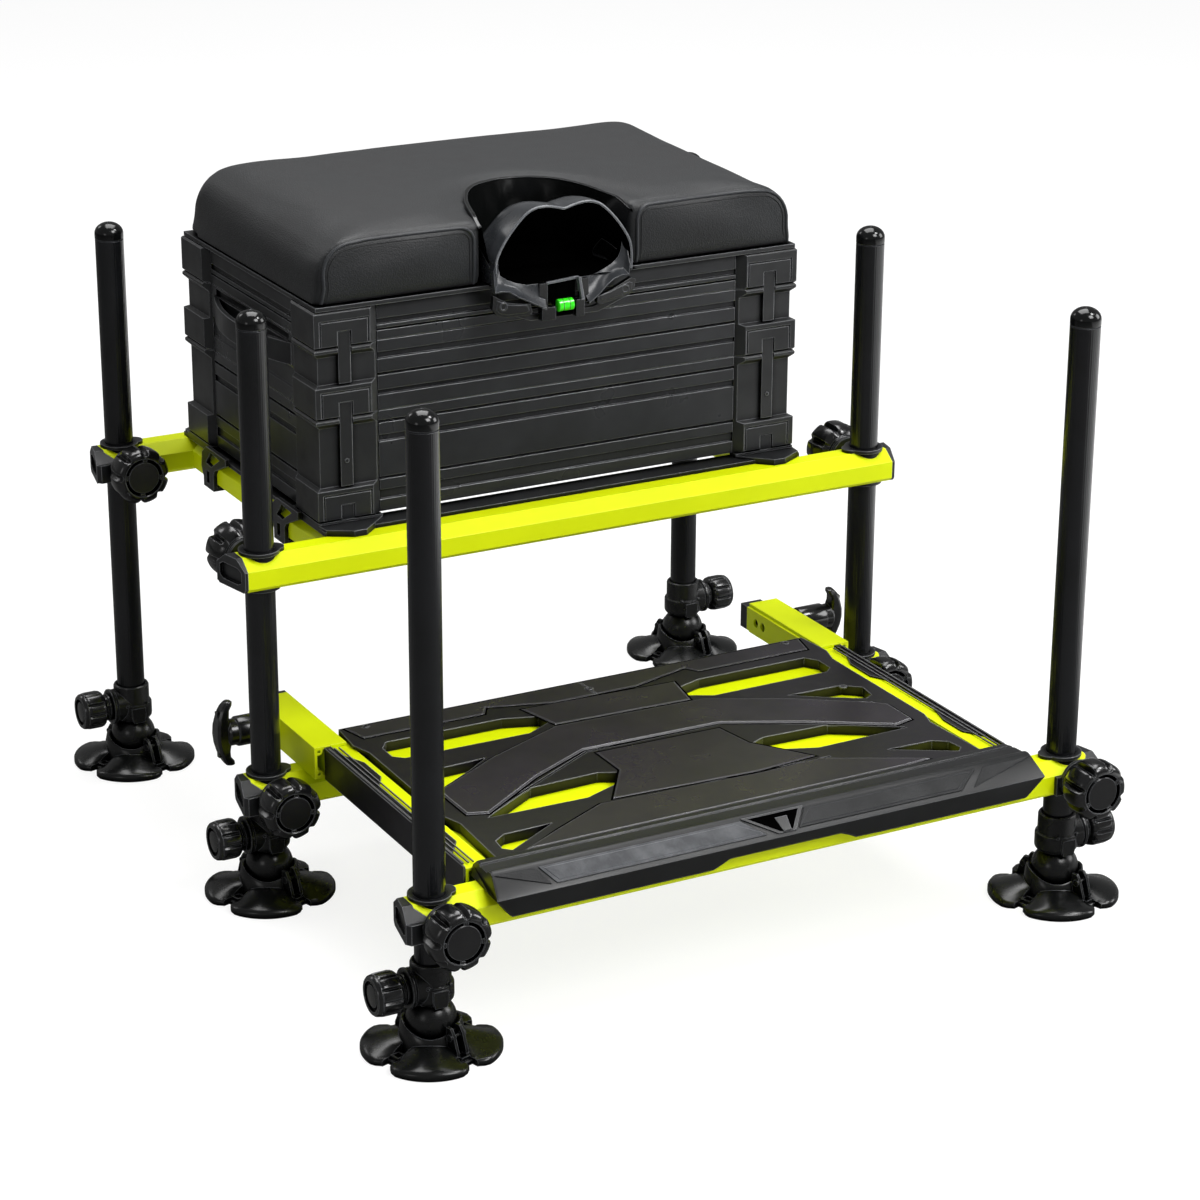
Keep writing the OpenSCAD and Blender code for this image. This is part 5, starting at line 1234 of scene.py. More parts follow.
    def puff(self, piece: bpy.types.Object) -> None:
        """Blows the cloth up from inside and keeps a capped share of the movement.

        Args:
            piece: Remeshed block.
        """
        rest = [v.co.copy() for v in piece.data.vertices]
        held = piece.vertex_groups.new(name="held")
        low = self.base * MM
        for i, co in enumerate(rest):
            weight = 1.0 - ease(co.z, low + self.held_band[0] * MM, low + self.held_band[1] * MM)
            if weight > 0:
                held.add([i], weight, "REPLACE")
        cloth = piece.modifiers.new("cloth", "CLOTH")
        cloth.settings.use_pressure = True
        cloth.settings.uniform_pressure_force = self.pressure
        cloth.settings.vertex_group_mass = "held"
        cloth.settings.effector_weights.gravity = 0.0
        cloth.settings.quality = 4
        cloth.point_cache.frame_start = 1
        cloth.point_cache.frame_end = self.frames
        scene = bpy.context.scene
        for number in range(1, self.frames + 1):
            scene.frame_set(number)
        graph = bpy.context.evaluated_depsgraph_get()
        blown = piece.evaluated_get(graph).data
        moved = [v.co.copy() for v in blown.vertices]
        piece.modifiers.clear()
        piece.vertex_groups.clear()
        scene.frame_set(1)
        cap = self.cap * MM
        steps = [b - a for a, b in zip(rest, moved)]
        steps = [d.normalized() * cap if d.length > cap else d for d in steps]
        pairs = [tuple(edge.vertices) for edge in piece.data.edges]
        for _ in range(self.evening):
            total = [d.copy() for d in steps]
            count = [1] * len(steps)
            for a, b in pairs:
                total[a] += steps[b]
                total[b] += steps[a]
                count[a] += 1
                count[b] += 1
            steps = [d / n for d, n in zip(total, count)]
        for vert, start, step in zip(piece.data.vertices, rest, steps):
            vert.co = start + step * ease(self.from_opening(start), *self.still_band)

    def from_opening(self, point: Vector) -> float:
        """Returns a point's distance from the scoop's opening.

        Args:
            point: Point in metres in the solids' frame.

        Returns:
            Distance in plan in millimetres.
        """
        here = Vector((abs(point.x / MM - self.notch_middle), point.y / MM - SHIFT))
        best = 1000.0
        for a, b in zip(self.notch, self.notch[1:]):
            start, run = Vector(a), Vector(b) - Vector(a)
            share = min(max((here - start).dot(run) / run.length_squared, 0.0), 1.0)
            best = min(best, (here - start - run * share).length)
        return best

    def welts(self, pad: bpy.types.Object) -> None:
        """Lays the sewn ridges on the front faces, following the pad's real surface.

        Args:
            pad: Finished pad.
        """
        graph = bpy.context.evaluated_depsgraph_get()
        tree = BVHTree.FromObject(pad, graph)
        wide = self.half - 5.4
        high = self.top - 4.2
        r_out = self.side_round - 5.0
        low = self.base + 2.0
        form = Form()
        stitch = Form()
        for sign, inner in ((-1, -self.notch_middle + 76.0), (1, self.notch_middle + 77.0)):
            path = [(wide - 0.5, low), (wide - 2.5, low + 12.0)]
            path += [(wide - r_out + (r_out - 2.5 * (1 - i / 10) ** 2) * math.cos(math.radians(9 * i)),
                high - r_out + r_out * math.sin(math.radians(9 * i))) for i in range(11)]
            path += [(inner + 12.0 + (wide - r_out - inner - 12.0) * (1 - i / 8), high + 0.9)
                for i in range(1, 9)]
            path += [(inner + 12.0 - 12.0 * math.sin(math.radians(15 * i)),
                high + 0.9 - 12.0 + 12.0 * math.cos(math.radians(15 * i))) for i in range(1, 7)]
            path += [(inner, low + 20.0), (inner, low)]
            for build, inset, radius, lift in ((form, 0.0, 1.5, 0.2), (stitch, 4.0, 0.45, 0.15)):
                points = self.on_front(tree, sign, self.inset(path, inset), lift)
                build.loft(self.hose(points, radius))
        form.shape("seat_cushion_welt", [WELT_CLOTH], "seat", crease=60)
        stitch.shape("seat_cushion_seam", [STITCH_THREAD], "seat", crease=60)

    def inset(self, path: Sequence[tuple[float, float]], by: float) -> list[tuple[float, float]]:
        """Moves a front path towards its middle and splits it finely.

        Args:
            path: Corners as X and Z.
            by: Distance in millimetres.

        Returns:
            Points as X and Z, some 4 mm apart.
        """
        fine: list[tuple[float, float]] = []
        for (x0, z0), (x1, z1) in zip(path, path[1:]):
            parts = max(1, round(math.hypot(x1 - x0, z1 - z0) / 4.0))
            fine += [(x0 + (x1 - x0) * i / parts, z0 + (z1 - z0) * i / parts) for i in range(parts)]
        fine.append(path[-1])
        out = []
        for i, (x, z) in enumerate(fine):
            a, b = fine[max(i - 1, 0)], fine[min(i + 1, len(fine) - 1)]
            run = Vector((b[0] - a[0], b[1] - a[1])).normalized()
            out.append((x - run.y * by, z + run.x * by))
        return out

    def on_front(self, tree: BVHTree, sign: int, path: Sequence[tuple[float, float]],
            lift: float) -> list[Vector]:
        """Drops a front path onto the pad's surface.

        Args:
            tree: Ray tree of the pad.
            sign: Side of the pad.
            path: Distances from the middle and heights.
            lift: How far the path stands off the surface.

        Returns:
            Points in measuring millimetres.
        """
        points = []
        for x, z in path:
            start = Vector((sign * x, self.front - 60.0 + SHIFT, z)) * MM
            hit = tree.ray_cast(start, Vector((0.0, 1.0, 0.0)), 0.12)[0]
            y = hit.y / MM - SHIFT if hit else self.front
            points.append(Vector((sign * x, y - lift, z)))
        smooth = [p.copy() for p in points]
        for i in range(1, len(points) - 1):
            smooth[i].y = (points[i - 1].y + points[i].y + points[i + 1].y) / 3
        return smooth

    def hose(self, points: Sequence[Vector], radius: float, sides: int = 10) -> list[list[Vector]]:
        """Lays the rings of a round cord along points.

        Args:
            points: Middle line of the cord.
            radius: Radius of the cord.
            sides: Number of corners of a ring.

        Returns:
            One ring of corners for each point.
        """
        rings = []
        for i, p in enumerate(points):
            run = (points[min(i + 1, len(points) - 1)] - points[max(i - 1, 0)]).normalized()
            side = run.cross(Vector((0.0, 1.0, 0.0))).normalized()
            up = side.cross(run)
            rings.append([p + radius * (math.cos(2 * math.pi * k / sides) * side
                + math.sin(2 * math.pi * k / sides) * up) for k in range(sides)])
        return rings

    def build(self) -> None:
        """Builds the pad, simulates it and sews its ridges on."""
        pad = self.blank()
        pad.name = "seat_cushion_pad"
        remesh = pad.modifiers.new("remesh", "REMESH")
        remesh.mode = "VOXEL"
        remesh.voxel_size = self.voxel * MM
        self.settle(pad)
        ease_out = pad.modifiers.new("smooth", "SMOOTH")
        ease_out.factor = 0.5
        ease_out.iterations = 2
        self.settle(pad)
        self.puff(pad)
        finer = pad.modifiers.new("subdivision", "SUBSURF")
        finer.levels = finer.render_levels = 1
        self.settle(pad)
        pad.data.materials.clear()
        pad.data.materials.append(COATED_CLOTH.make())
        for face in pad.data.polygons:
            face.use_smooth = True
        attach(pad, "seat")
        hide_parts("seat_cushion")
        self.welts(pad)
        LOG.info("built seat_cushion_pad")


@dataclass
class SeatScoop:
    """Glossy moulding in the front of the seat: hood, throat, chin, ears and vial block.

    Attributes:
        middle: X of the arch's middle line.
        opening_middle: X of the middle line of the cushion's opening.
        opening: Half outline of the cushion's opening, as half width and Y.
        rim: Line of the arch from its right foot to its left foot.
    """

    middle: float = -3.5
    opening_middle: float = -7.0
    opening: tuple[tuple[float, float], ...] = ((69.0, 20.0), (67.0, 34.0), (62.5, 52.0), (57.0, 70.0),
        (50.5, 84.0), (43.0, 96.0), (32.5, 107.0), (18.5, 115.0))
    rim: tuple[Point, ...] = ((63.5, 12, 494), (64.3, 13, 507), (61.6, 13, 520), (51, 13, 536.5),
        (37, 13, 551), (27, 13, 556), (17, 13, 556.6), (8, 13, 555), (0, 13, 553.2), (-8, 13, 555),
        (-17, 13, 556.6), (-27, 13, 556), (-37, 13, 551), (-51, 13, 536.5), (-61.6, 13, 520),
        (-64.3, 13, 507), (-63.5, 12, 494))

    def __post_init__(self) -> None:
        """Works out the fine line of the rim."""
        self.line = flowing(self.rim, 4)

    def arch(self, out: float, back: float, lower: float, cut: float = 63.2) -> list[Point]:
        """Returns the rim's arch, grown, moved back and lowered.

        Args:
            out: Growth away from the arch's centre.
            back: Distance behind the rim.
            lower: Distance that the crown sinks.
            cut: Greatest height over the arch's foot that the ring may reach.

        Returns:
            Ring of points from the right foot to the left foot.
        """
        ring = []
        for x, y, z in self.line:
            up = z - 494.0
            reach = math.hypot(x, up)
            grown = (reach + out) / reach
            high = min(up * grown - lower * ease(up, 0.0, 55.0), cut)
            room = self.half_at(y + back) - 4.5
            across = self.middle + x * grown
            if back > 5.0:
                across = min(max(across, self.opening_middle - room), self.opening_middle + room)
            ring.append((across, y + back, 494.0 + high))
        return ring

    def half_at(self, y: float) -> float:
        """Looks up the half width of the seat's opening at one depth.

        Args:
            y: Depth along Y.

        Returns:
            Half width, or 0 behind the opening.
        """
        for (x0, y0), (x1, y1) in zip(self.opening, self.opening[1:]):
            if y <= y1:
                return x0 + (x1 - x0) * min(max((y - y0) / (y1 - y0), 0.0), 1.0)
        return 0.0

    def hood(self, form: Form) -> None:
        """Adds the hood with its rim, back wall and the groove round it.

        Args:
            form: Form that takes the faces.
        """
        groove = [(self.middle + x, y, 497.0) for x, y in self.footprint(0.86)]
        wall = [(self.middle + x, y, 547.5 + 6.5 * ease(y, 20.0, 117.0) - 6.0 * (1 - ease(y, 18.0, 42.0)))
            for x, y in self.footprint(1.0)]
        lip = [(x, y, z + 2.0) for x, y, z in wall]
        flange = [(self.middle + x, y, 549.6 + 6.5 * ease(y, 20.0, 117.0) - 7.0 * (1 - ease(y, 18.0, 42.0)))
            for x, y in self.footprint(1.04)]
        under = [(x * 1.004, y, z - 3.0) for x, y, z in flange]
        rows = [self.arch(-7.0, 14.0, 0.0), self.arch(-2.2, 1.2, 0.0), self.arch(-1.5, -0.2, 0.0),
            self.arch(-0.3, -0.6, 0.0), self.arch(0.6, 0.0, 0.0), self.arch(0.8, 1.5, 0.3),
            self.arch(1.4, 9.0, 1.0), self.arch(1.8, 20.0, 2.4), self.arch(1.5, 32.0, 4.4),
            self.arch(0.5, 42.0, 7.0), self.arch(-1.0, 48.0, 10.0), self.arch(-4.0, 52.0, 18.0), groove,
            wall, lip, flange, under]
        # Painted light: the rows inside the rim are painted shade, the rim line a painted highlight, and
        # the flank behind it a paler painted highlight.
        for start, end, tint in ((0, 2, 1), (2, 4, 2), (4, 10, 3), (10, len(rows) - 1, 0)):
            form.loft(rows[start:end + 1], tint, closed=False, caps=(False, False))

    def footprint(self, share: float) -> list[tuple[float, float]]:
        """Returns the opening's plan, open to the front, from the middle of the arch.

        Args:
            share: Size against the seat's opening.

        Returns:
            Points from right to left, as many as the rim has.
        """
        half = [(x, y, 0.0) for x, y in self.opening]
        path = half + [(0.0, 118.5, 0.0)] + [(-x, y, z) for x, y, z in reversed(half)]
        drift = self.opening_middle - self.middle
        return [(drift + x * share, 20.0 + (y - 20.0) * share) for x, y, _ in flowing(path, 4)]

    def throat(self, form: Form) -> None:
        """Adds the inside of the scoop and its floor, black as painted shade.

        Args:
            form: Form that takes the faces.
        """
        rows = [self.arch(-7.0, 14.0, 0.0), self.arch(-9.0, 34.0, 6.0), self.arch(-24.0, 52.0, 22.0)]
        form.loft(rows, 1, closed=False, caps=(False, False))
        last = rows[-1] + [(self.middle, 60.0, 494.0)]
        form.add(last, [tuple(range(len(last)))], 1)
        floor = [(-70.0, 10.0, 493.8), (64.0, 10.0, 493.8), (64.0, 76.0, 493.8), (-70.0, 76.0, 493.8)]
        form.add(floor, [(0, 1, 2, 3)], 1)

    def chin(self, form: Form) -> None:
        """Adds the two pale bands that sweep from the arch's feet down to the vial block, a painted
        highlight, edged above by painted shade.

        Args:
            form: Form that takes the faces.
        """
        left_top = [(-64, 15.5, 516), (-63.5, 15.5, 508), (-63, 13.5, 502.5), (-57, 12.5, 498),
            (-49, 10.5, 495), (-41, 9.0, 493), (-32, 8.4, 493), (-24, 8, 493)]
        left_low = [(-74, 3, 511), (-74, 2, 500), (-73, 1.8, 492), (-67, 1.6, 492.6), (-60, 1.4, 491.5),
            (-51, 1.2, 485.5), (-40, 1.0, 480), (-26, 1.0, 472.5)]
        right_top = [(53, 17, 517), (52, 17, 510), (49, 16.5, 504), (43, 16, 499.5), (35, 14.5, 496.5),
            (27, 12.5, 494.4), (18, 10, 493.4), (9, 8, 494.2)]
        right_low = [(56, 12, 510), (55.5, 6, 500), (53, 3.5, 492), (46, 2, 493), (38, 1.6, 491),
            (31, 1.4, 486), (24, 1.2, 479.5), (14, 1.0, 472.5)]
        for top, low in ((left_top, left_low), (right_top, right_low)):
            rows = []
            for k in range(9):
                t = k / 8
                dip = math.sin(math.pi * t)
                rows.append([(a[0] + (b[0] - a[0]) * t, a[1] + (b[1] - a[1]) * t + 1.6 * dip,
                    a[2] + (b[2] - a[2]) * t - 1.2 * dip) for a, b in zip(top, low)])
            # Painted shade: a black strip along the bands' upper edge.
            form.loft([[(a[0], a[1] + 7.0, a[2] - 1.5) for a in top], rows[0]], 1, closed=False,
                caps=(False, False))
            rows.append([(b[0], b[1] + 0.6, b[2] - 1.2) for b in low])
            rows.append([(b[0], b[1] + 6.0, b[2] - 1.4) for b in low])
            # Painted highlight: the pale satin bands themselves.
            form.loft(rows, 3, closed=False, caps=(False, False))

    def block(self, form: Form) -> None:
        """Adds the vial block with its square window, and the ears with their pivots.

        Args:
            form: Form that takes the faces.
        """
        form.block((-30.5, 1.0, 462.5), (-17.5, 8.4, 473.6))
        form.block((1.6, 1.0, 462.5), (9.4, 8.4, 476.6))
        # Painted shade: black backing behind the vial's window.
        form.block((-17.6, 6.8, 463.5), (1.7, 9.4, 478.6), 1)
        form.block((-30.5, 5.4, 473.2), (-23.0, 8.4, 493.2))
        # Painted highlight: two pale strips along the window's frame.
        form.prism([(4.4, 495.4), (6.6, 495.4), (10.2, 476.0), (7.6, 476.0)], -7.6, -2.2, 2,
            Matrix.Rotation(math.radians(90), 4, "X"))
        form.prism([(-23.4, 491.8), (-23.4, 493.6), (4.4, 495.6), (6.6, 495.4), (4.4, 493.6)], -8.2,
            -6.0, 2, Matrix.Rotation(math.radians(90), 4, "X"))
        form.block((6.6, 4.6, 474.0), (15.0, 8.4, 493.4))
        # Painted shade: black recess above the vial.
        form.block((-23.2, 9.0, 476.0), (4.4, 10.4, 493.8), 1)
        ears = (((-75, 489.5), (-62, 482), (-52, 480), (-41, 478.6), (-39, 471.5), (-42, 469),
            (-62, 469.6), (-72, 472.5), (-76, 478)),
            ((22, 477), (34, 480.5), (54, 489.5), (58, 488), (57, 480), (51, 474.5), (24, 469.5),
            (21.6, 471.5)))
        upright = Matrix.Rotation(math.radians(90), 4, "X")
        for outline in ears:
            form.prism(outline, -6.5, -1.6, 0, upright)
            middle = (sum(p[0] for p in outline) / len(outline), sum(p[1] for p in outline) / len(outline))
            inner = [(middle[0] + (x - middle[0]) * 0.82, middle[1] + (z - middle[1]) * 0.66)
                for x, z in outline]
            form.prism(inner, -1.7, -1.0, 0, upright)
        for x, z in ((-66.4, 479.3), (48.0, 480.2)):
            hole = axis_frame((x, 1.4, z), (0.0, -1.0, 0.0))
            form.turn([(3.6, -2.0), (3.6, 0.9), (2.5, 0.9), (2.3, -0.6), (0.05, -0.6)], 28, 0, hole)
            # Painted highlight: pale heads of the pivots.
            form.turn([(1.1, -0.8), (1.1, -0.1), (0.05, -0.1)], 16, 2, hole)

    def build(self) -> None:
        """Builds the moulding."""
        form = Form()
        self.hood(form)
        self.throat(form)
        self.chin(form)
        self.block(form)
        form.shape("seat_scoop_detailed", [GLOSS_ABS, PAINTED_SHADE_AND_MARK_BLACK, PAINTED_RIM_HIGHLIGHT, PAINTED_HIGHLIGHT_ABS], "seat",
            ["seat_scoop"], crease=38.0)


@dataclass
class SpiritLevel:
    """Vial of tinted liquid with two dark marks.

    Attributes:
        place: Middle of the vial.
        radius: Radius of the vial.
        length: Length of the vial.
    """

    place: Point = (-7.8, 4.0, 473.4)
    radius: float = 5.2
    length: float = 14.4

    def build(self) -> None:
        """Builds the vial."""
        at = axis_frame((self.place[0] - self.length / 2, self.place[1], self.place[2]), (1.0, 0.0, 0.0))
        form = Form()
        r, n = self.radius, self.length
        form.turn([(0.05, 0.0), (r - 0.8, 0.0), (r, 0.6), (r, n - 0.6), (r - 0.8, n), (0.05, n)], 40, 0, at)
        for mark in (0.3, 0.7):
            form.turn([(r - 0.2, n * mark - 0.3), (r + 0.05, n * mark - 0.3), (r + 0.05, n * mark + 0.3),
                (r - 0.2, n * mark + 0.3)], 40, 1, at)
        form.shape("spirit_level_vial", [VIAL_LIQUID, PAINTED_SHADE_AND_MARK_BLACK], "seat", ["spirit_level"], crease=40.0)


@dataclass
class ToeBar:
    """Moulded toe bar with a raised rear lip, a centre notch and two grained grips.

    Attributes:
        half_top: Half length at the upper lip.
        half_crease: Half length at the front crease.
        half_bottom: Half length at the lower edge.
        section: Section of the bar as Y and Z.
    """

    half_top: float = 248.0
    half_crease: float = 252.0
    half_bottom: float = 238.0
    section: tuple[tuple[float, float], ...] = ((-293.6, 128.9), (-293.6, 137.2), (-296.0, 139.8),
        (-299.0, 141.6), (-306.0, 142.4), (-307.4, 141.2), (-309.0, 141.2), (-310.2, 142.3),
        (-321.6, 142.3), (-323.4, 143.8), (-325.2, 144.5), (-328.0, 144.4), (-330.2, 143.4),
        (-346.0, 130.6), (-347.3, 129.0), (-347.0, 127.4), (-343.4, 112.2), (-341.6, 110.6),
        (-333.6, 110.6), (-333.6, 128.9))

    def reach(self, y: float, z: float) -> float:
        """Works out the half length at one corner of the section.

        Args:
            y: Depth of the corner.
            z: Height of the corner.

        Returns:
            Half length in millimetres.
        """
        if z >= 129.0:
            half = self.half_crease + (self.half_top - self.half_crease) * min((z - 129.0) / 14.0, 1.0)
        else:
            half = self.half_crease + (self.half_bottom - self.half_crease) * min((129.0 - z) / 18.0, 1.0)
        return half - 3.5 * ease(y, -318.0, -294.0)

    def notch(self, x: float, z: float) -> float:
        """Raises a lower corner of the section over the middle notch.

        Args:
            x: Place along the bar.
            z: Height of the corner.

        Returns:
            Height with the notch.
        """
        if z > 118.0:
            return z
        rise = ease(x, -60.0, -43.0) * (1 - ease(x, 57.0, 74.0))
        return z + 6.5 * rise

    def build(self) -> None:
        """Builds the bar and its grips."""
        stops = [-1.0, -0.985, -0.6, -0.4, -0.25, -0.22, -0.19, -0.17, 0.0, 0.1, 0.22, 0.24, 0.27,
            0.3, 0.4, 0.6, 0.985, 1.0]
        rings = []
        for s in stops:
            ring = []
            for y, z in self.section:
                half = self.reach(y, z) - (2.0 if abs(s) == 1.0 else 0.0)
                x = s * half
                shrink = 0.0 if abs(s) < 1.0 else 1.0
                ring.append((x, y + (-320.0 - y) * 0.02 * shrink, self.notch(x, z)
                    + (128.0 - z) * 0.05 * shrink))
            rings.append(ring)
        bar = Form()
        bar.loft(rings)
        self.badge(bar)
        bar.shape("toe_bar_detailed", [BAR_NYLON, PAINTED_SHADE_AND_MARK_BLACK], "footplate", ["toe_bar"], crease=24.0)
        grips = Form()
        self.grip(grips, -208.0, -31.0, -245.0)
        self.grip(grips, 28.0, 190.0, None)
        grips.shape("toe_grips_detailed", [DUSTY_GRIP, GRIP_RUBBER], "footplate", ["toe_grips"],
            crease=35.0, round_mm=0.5)

    def slant(self, u: float, lift: float = 0.0) -> tuple[float, float]:
        """Places a point on the sloping face.

        Args:
            u: Share from the lower crease to the upper lip.
            lift: Distance off the face.

        Returns:
            Its Y and Z.
        """
        run = Vector((15.8, 12.8)).normalized()
        return (-346.0 + 15.8 * u - run.y * lift, 130.6 + 12.8 * u + run.x * lift)

    def panel(self, form: Form, corners: Sequence[tuple[float, float]], thick: float,
            tint: int = 0) -> None:
        """Lays a thin plate on the sloping face.

        Args:
            form: Form that takes the faces.
            corners: X and share up the face of each corner.
            thick: Thickness of the plate.
            tint: Number of the finish.
        """
        low = [(x, *self.slant(u, -0.3)) for x, u in corners]
        high = [(x, *self.slant(u, thick)) for x, u in corners]
        form.loft([low, high], tint)

    def grip(self, form: Form, x0: float, x1: float, tip: float | None) -> None:
        """Adds one grained grip with its raised outline.

        Args:
            form: Form that takes the faces.
            x0: Outer or left end.
            x1: Right end.
            tip: End of the triangular facet beside it, if it has one.
        """
        lean0, lean1 = (10.0, -18.0) if x0 < 0 else (-12.0, 20.0)
        corners = [(x0, 0.9), (x0 + lean0, 0.1), (x1 - lean1, 0.1), (x1, 0.9)]
        tint = 0 if tip is not None else 1
        self.panel(form, corners, 0.9, tint)
        inner = [(x0 + 4.0, 0.8), (x0 + lean0 + 2.5, 0.2), (x1 - lean1 - 3.0, 0.2), (x1 - 6.0, 0.8)]
        self.panel(form, inner, 1.3, tint)
        if tip is not None:
            self.panel(form, [(x0 - 3.5, 0.9), (tip, 0.92), (x0 + lean0 - 4.5, 0.1)], 0.7, 1)
        else:
            self.panel(form, [(x1 + 8.0, 0.9), (x1 + 55.0, 0.92), (x1 - 8.0, 0.12)], 0.6, 1)

    def badge(self, form: Form) -> None:
        """Adds the plain V-shaped recess in the middle, its floor black as painted shade.

        Args:
            form: Form that takes the faces.
        """
        self.panel(form, [(-30.0, 0.98), (-3.0, 0.04), (13.0, 0.04), (27.0, 0.98)], 1.0)
        # Painted shade: the near-black plate inside the recess.
        self.panel(form, [(-24.0, 0.9), (-1.0, 0.12), (10.5, 0.12), (22.0, 0.9)], 1.15, 1)
        self.panel(form, [(-1.5, 0.7), (1.5, 0.08), (8.5, 0.08), (9.5, 0.7)], 1.9)


def inset_outline(outline: Sequence[tuple[float, float]], by: float) -> list[tuple[float, float]]:
    """Moves every edge of an anticlockwise outline inwards.

    Args:
        outline: Corners of the outline.
        by: Distance.

    Returns:
        Corners of the smaller outline.
    """
    n = len(outline)
    out = []
    for i in range(n):
        a, b, c = (Vector(outline[(i + k) % n]) for k in (-1, 0, 1))
        d0, d1 = (b - a).normalized(), (c - b).normalized()
        n0, n1 = Vector((-d0.y, d0.x)), Vector((-d1.y, d1.x))
        mitre = (n0 + n1) / max(1.0 + n0.dot(n1), 0.35)
        moved = b + mitre * by
        out.append((moved.x, moved.y))
    return out


@dataclass
class DeckRelief:
    """Raised fields, ribs and screws on the footplate's deck and side covers.

    Attributes:
        top: Height of the deck's ground.
        rise: Usual height of a raised field.
        slope: Width of a field's sloping edge.
        shade_line_width: Width of the near-black line of painted shade round a field.
    """

    top: float = 137.3
    rise: float = 1.2
    slope: float = 1.4
    shade_line_width: float = 1.6

    def field(self, form: Form, outline: Sequence[tuple[float, float]], rise: float = 0.0) -> None:
        """Adds one raised field with sloping edges, ringed at its foot by a near-black strip of painted
        shade.

        Args:
            form: Form that takes the faces.
            outline: Corners in either direction.
            rise: Height, or nothing for the usual one.
        """
        high = self.top + (rise or self.rise)
        area = sum(a[0] * b[1] - b[0] * a[1] for a, b in zip(outline, [*outline[1:], outline[0]]))
        outline = list(outline) if area > 0 else list(reversed(outline))
        inner = inset_outline(outline, self.slope)
        wide = inset_outline(outline, -self.shade_line_width)
        # Painted shade: a near-black strip round the foot of the field.
        form.loft([[(x, y, self.top - 0.3) for x, y in wide],
            [(x, y, self.top + 0.12) for x, y in wide]], 1)
        # Painted sheen: the field takes the paler polished finish.
        form.loft([[(x, y, self.top - 0.4) for x, y in outline],
            [(x, y, self.top + 0.05) for x, y in outline], [(x, y, high) for x, y in inner]], 2)

    def build(self) -> None:
        """Builds the relief."""
        form = Form()
        band = [(-209, -160), (-209, -212), (-192, -218), (-126, -172), (-67, -141.5), (61, -144),
            (124, -176), (190, -217), (209, -212), (209, -176), (200, -167), (144, -128), (76, -92),
            (-66, -87), (-142, -121), (-198, -155)]
        self.field(form, band, 1.6)
        self.field(form, [(-206, -297), (-160, -270), (-106, -242), (38, -249), (96, -246), (176, -289),
            (150, -292), (-190, -292)], 1.2)
        self.field(form, [(-72, -39), (-62, -82), (66, -87), (74, -45)], 0.8)
        self.field(form, [(-92, -238), (-60, -190), (-60, -150), (56, -152), (62, -190), (96, -240),
            (38, -245)], 0.6)
        for sign in (-1, 1):
            rear = [(sign * 222, -8.5), (sign * 216, -34.0), (sign * 104, -34.0), (sign * 97, -22.0),
                (sign * 40, -39.0), (0.0, -39.0), (0.0, -8.5)]
            self.field(form, rear, 0.8)
            low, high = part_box("side_covers")
            roof = high.z / MM
            front, back = low.y / MM - SHIFT, high.y / MM - SHIFT
            for place, wide, lift in ((250.2, 1.6, 1.0), (245.2, 1.0, 0.8), (241.0, 1.0, 0.7)):
                x0, x1 = sorted((sign * place, sign * (place - wide)))
                form.block((x0, front + 5.0, roof - 0.4), (x1, back - 6.0, roof + lift))
        for x, y in ((0.0, -26.0), (-205.0, -12.5), (205.0, -12.5), (-196.0, -124.0), (196.0, -124.0)):
            at = Matrix.Translation((x, y, self.top))
            form.turn([(3.6, 0.0), (3.6, 1.3), (3.0, 1.5), (2.2, 1.5), (2.0, 0.9), (0.05, 0.9)], 24, 0, at)
        form.shape("footplate_deck_relief", [DECK_NYLON, PAINTED_SHADE_AND_MARK_BLACK, DECK_POLISH_AND_SHEEN], "footplate",
            crease=20.0)


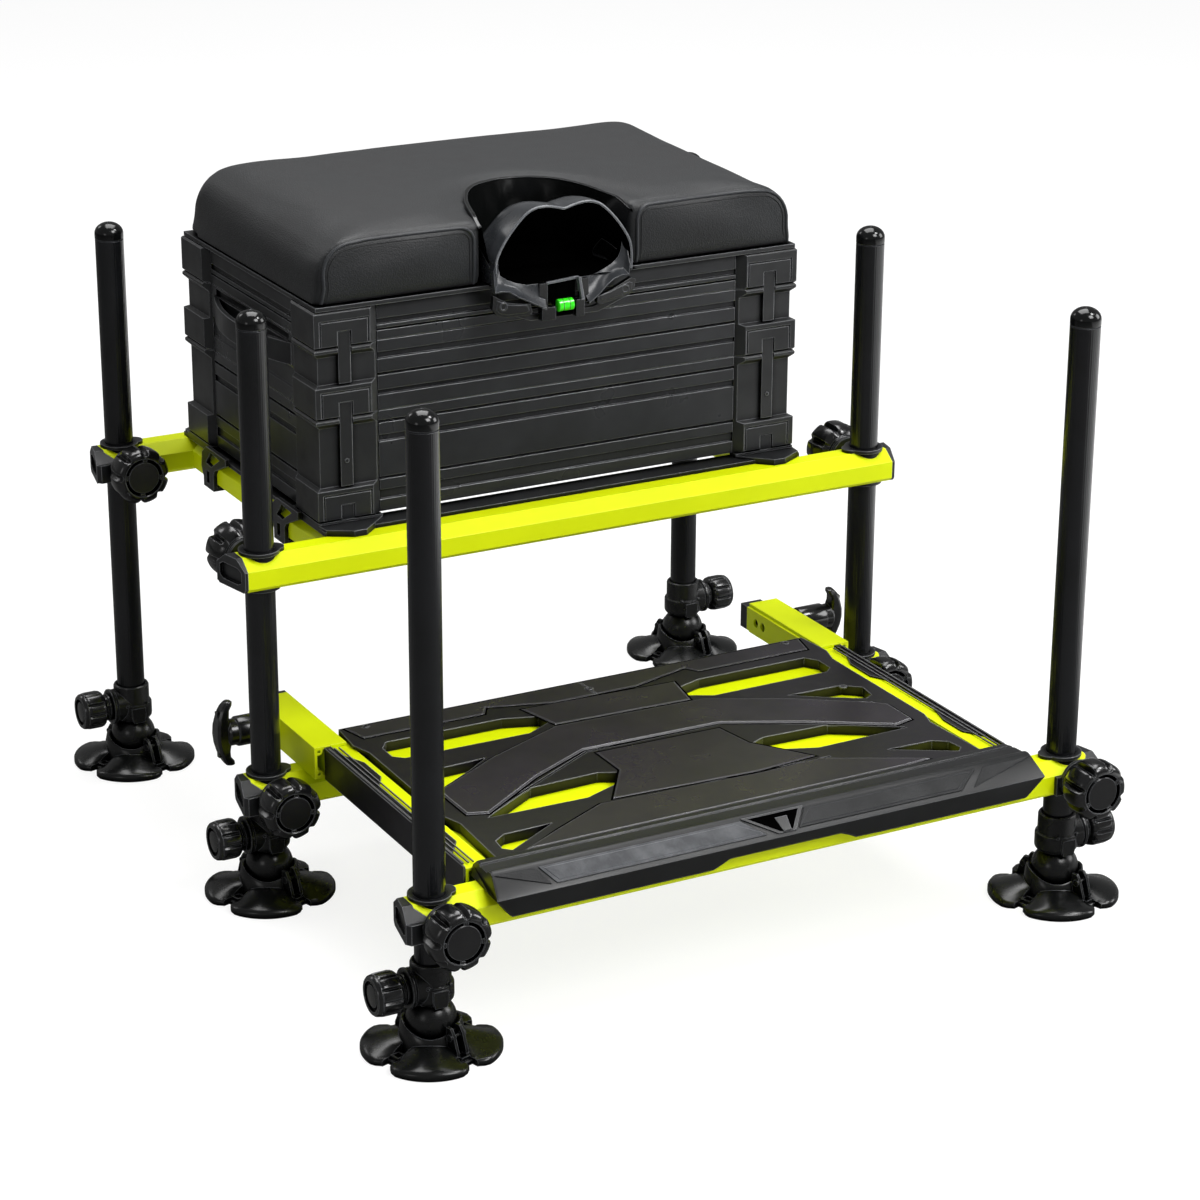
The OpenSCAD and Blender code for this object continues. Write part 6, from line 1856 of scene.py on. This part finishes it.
def dress(nodes: Sequence[str], finish: Finish) -> None:
    """Gives CAD nodes a finish in place of their plain one.

    Args:
        nodes: Names of the nodes.
        finish: Finish for all of them.
    """
    material = finish.make()
    for name in nodes:
        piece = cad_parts[name]
        piece.data.materials.clear()
        piece.data.materials.append(material)
        LOG.info("dressed %s", name)


@dataclass
class Carcase:
    """CAD nodes that keep their own shape and take a detailed finish.

    Attributes:
        plan: Nodes that each finish goes to.
    """

    plan: dict[Finish, list[str]] = field(default_factory=lambda: {
        LIME_COAT: ["main_front_tube", "main_rear_tube", "footplate_frame", "bracket_tubes"],
        LIME_RAIL: ["side_rails", "bracket_channels"],
        GRAPHITE_FRONT: ["deep_panels", "mid_panels", "tray_panels", "drawer_tray"],
        CHARCOAL_NYLON: ["deep_castings", "mid_castings", "tray_castings", "base_frame",
            "base_hooks", "tie_straps", "drawer_handle", "seat_latch", "seat_base",
            "main_clamp_ends", "bracket_fittings", "footplate_fittings", "main_bushes"],
        DECK_NYLON: ["footplate_deck", "side_covers", "toe_bar", "rail_caps"],
        BRUSHED_STEEL: ["seat_hinge"],
        GRIP_RUBBER: ["toe_grips"],
        GLOSS_ABS: ["seat_scoop"],
        COATED_CLOTH: ["seat_cushion"],
    })

    def build(self) -> None:
        """Dresses every kept node."""
        for finish, nodes in self.plan.items():
            dress(nodes, finish)
        for kind, finish in (("leg", ANODISED_TUBE), ("pad", KNOB_NYLON), ("foot_knob", KNOB_NYLON)):
            dress([f"{kind}_{row}_{side}" for row in LEG_ROWS for side, _ in SIDES], finish)
        dress([f"clamp_knob_{row}_{side}" for row in ("rear", "front", "bracket", "foot")
            for side, _ in SIDES], KNOB_NYLON)
        dress([f"wing_handle_{side}" for side, _ in SIDES], KNOB_NYLON)
        dress(["spirit_level"], LIME_COAT)


def main() -> None:
    """Builds the studio and every sub-assembly in order."""
    logging.basicConfig(level=logging.INFO, format="%(message)s")
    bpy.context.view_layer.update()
    Studio().build()
    Carcase().build()
    LegSet().build()
    KnobSet().build()
    PadSet().build()
    SeatCushion().build()
    SeatScoop().build()
    SpiritLevel().build()
    ToeBar().build()
    DeckRelief().build()


if __name__ == "__main__":
    main()
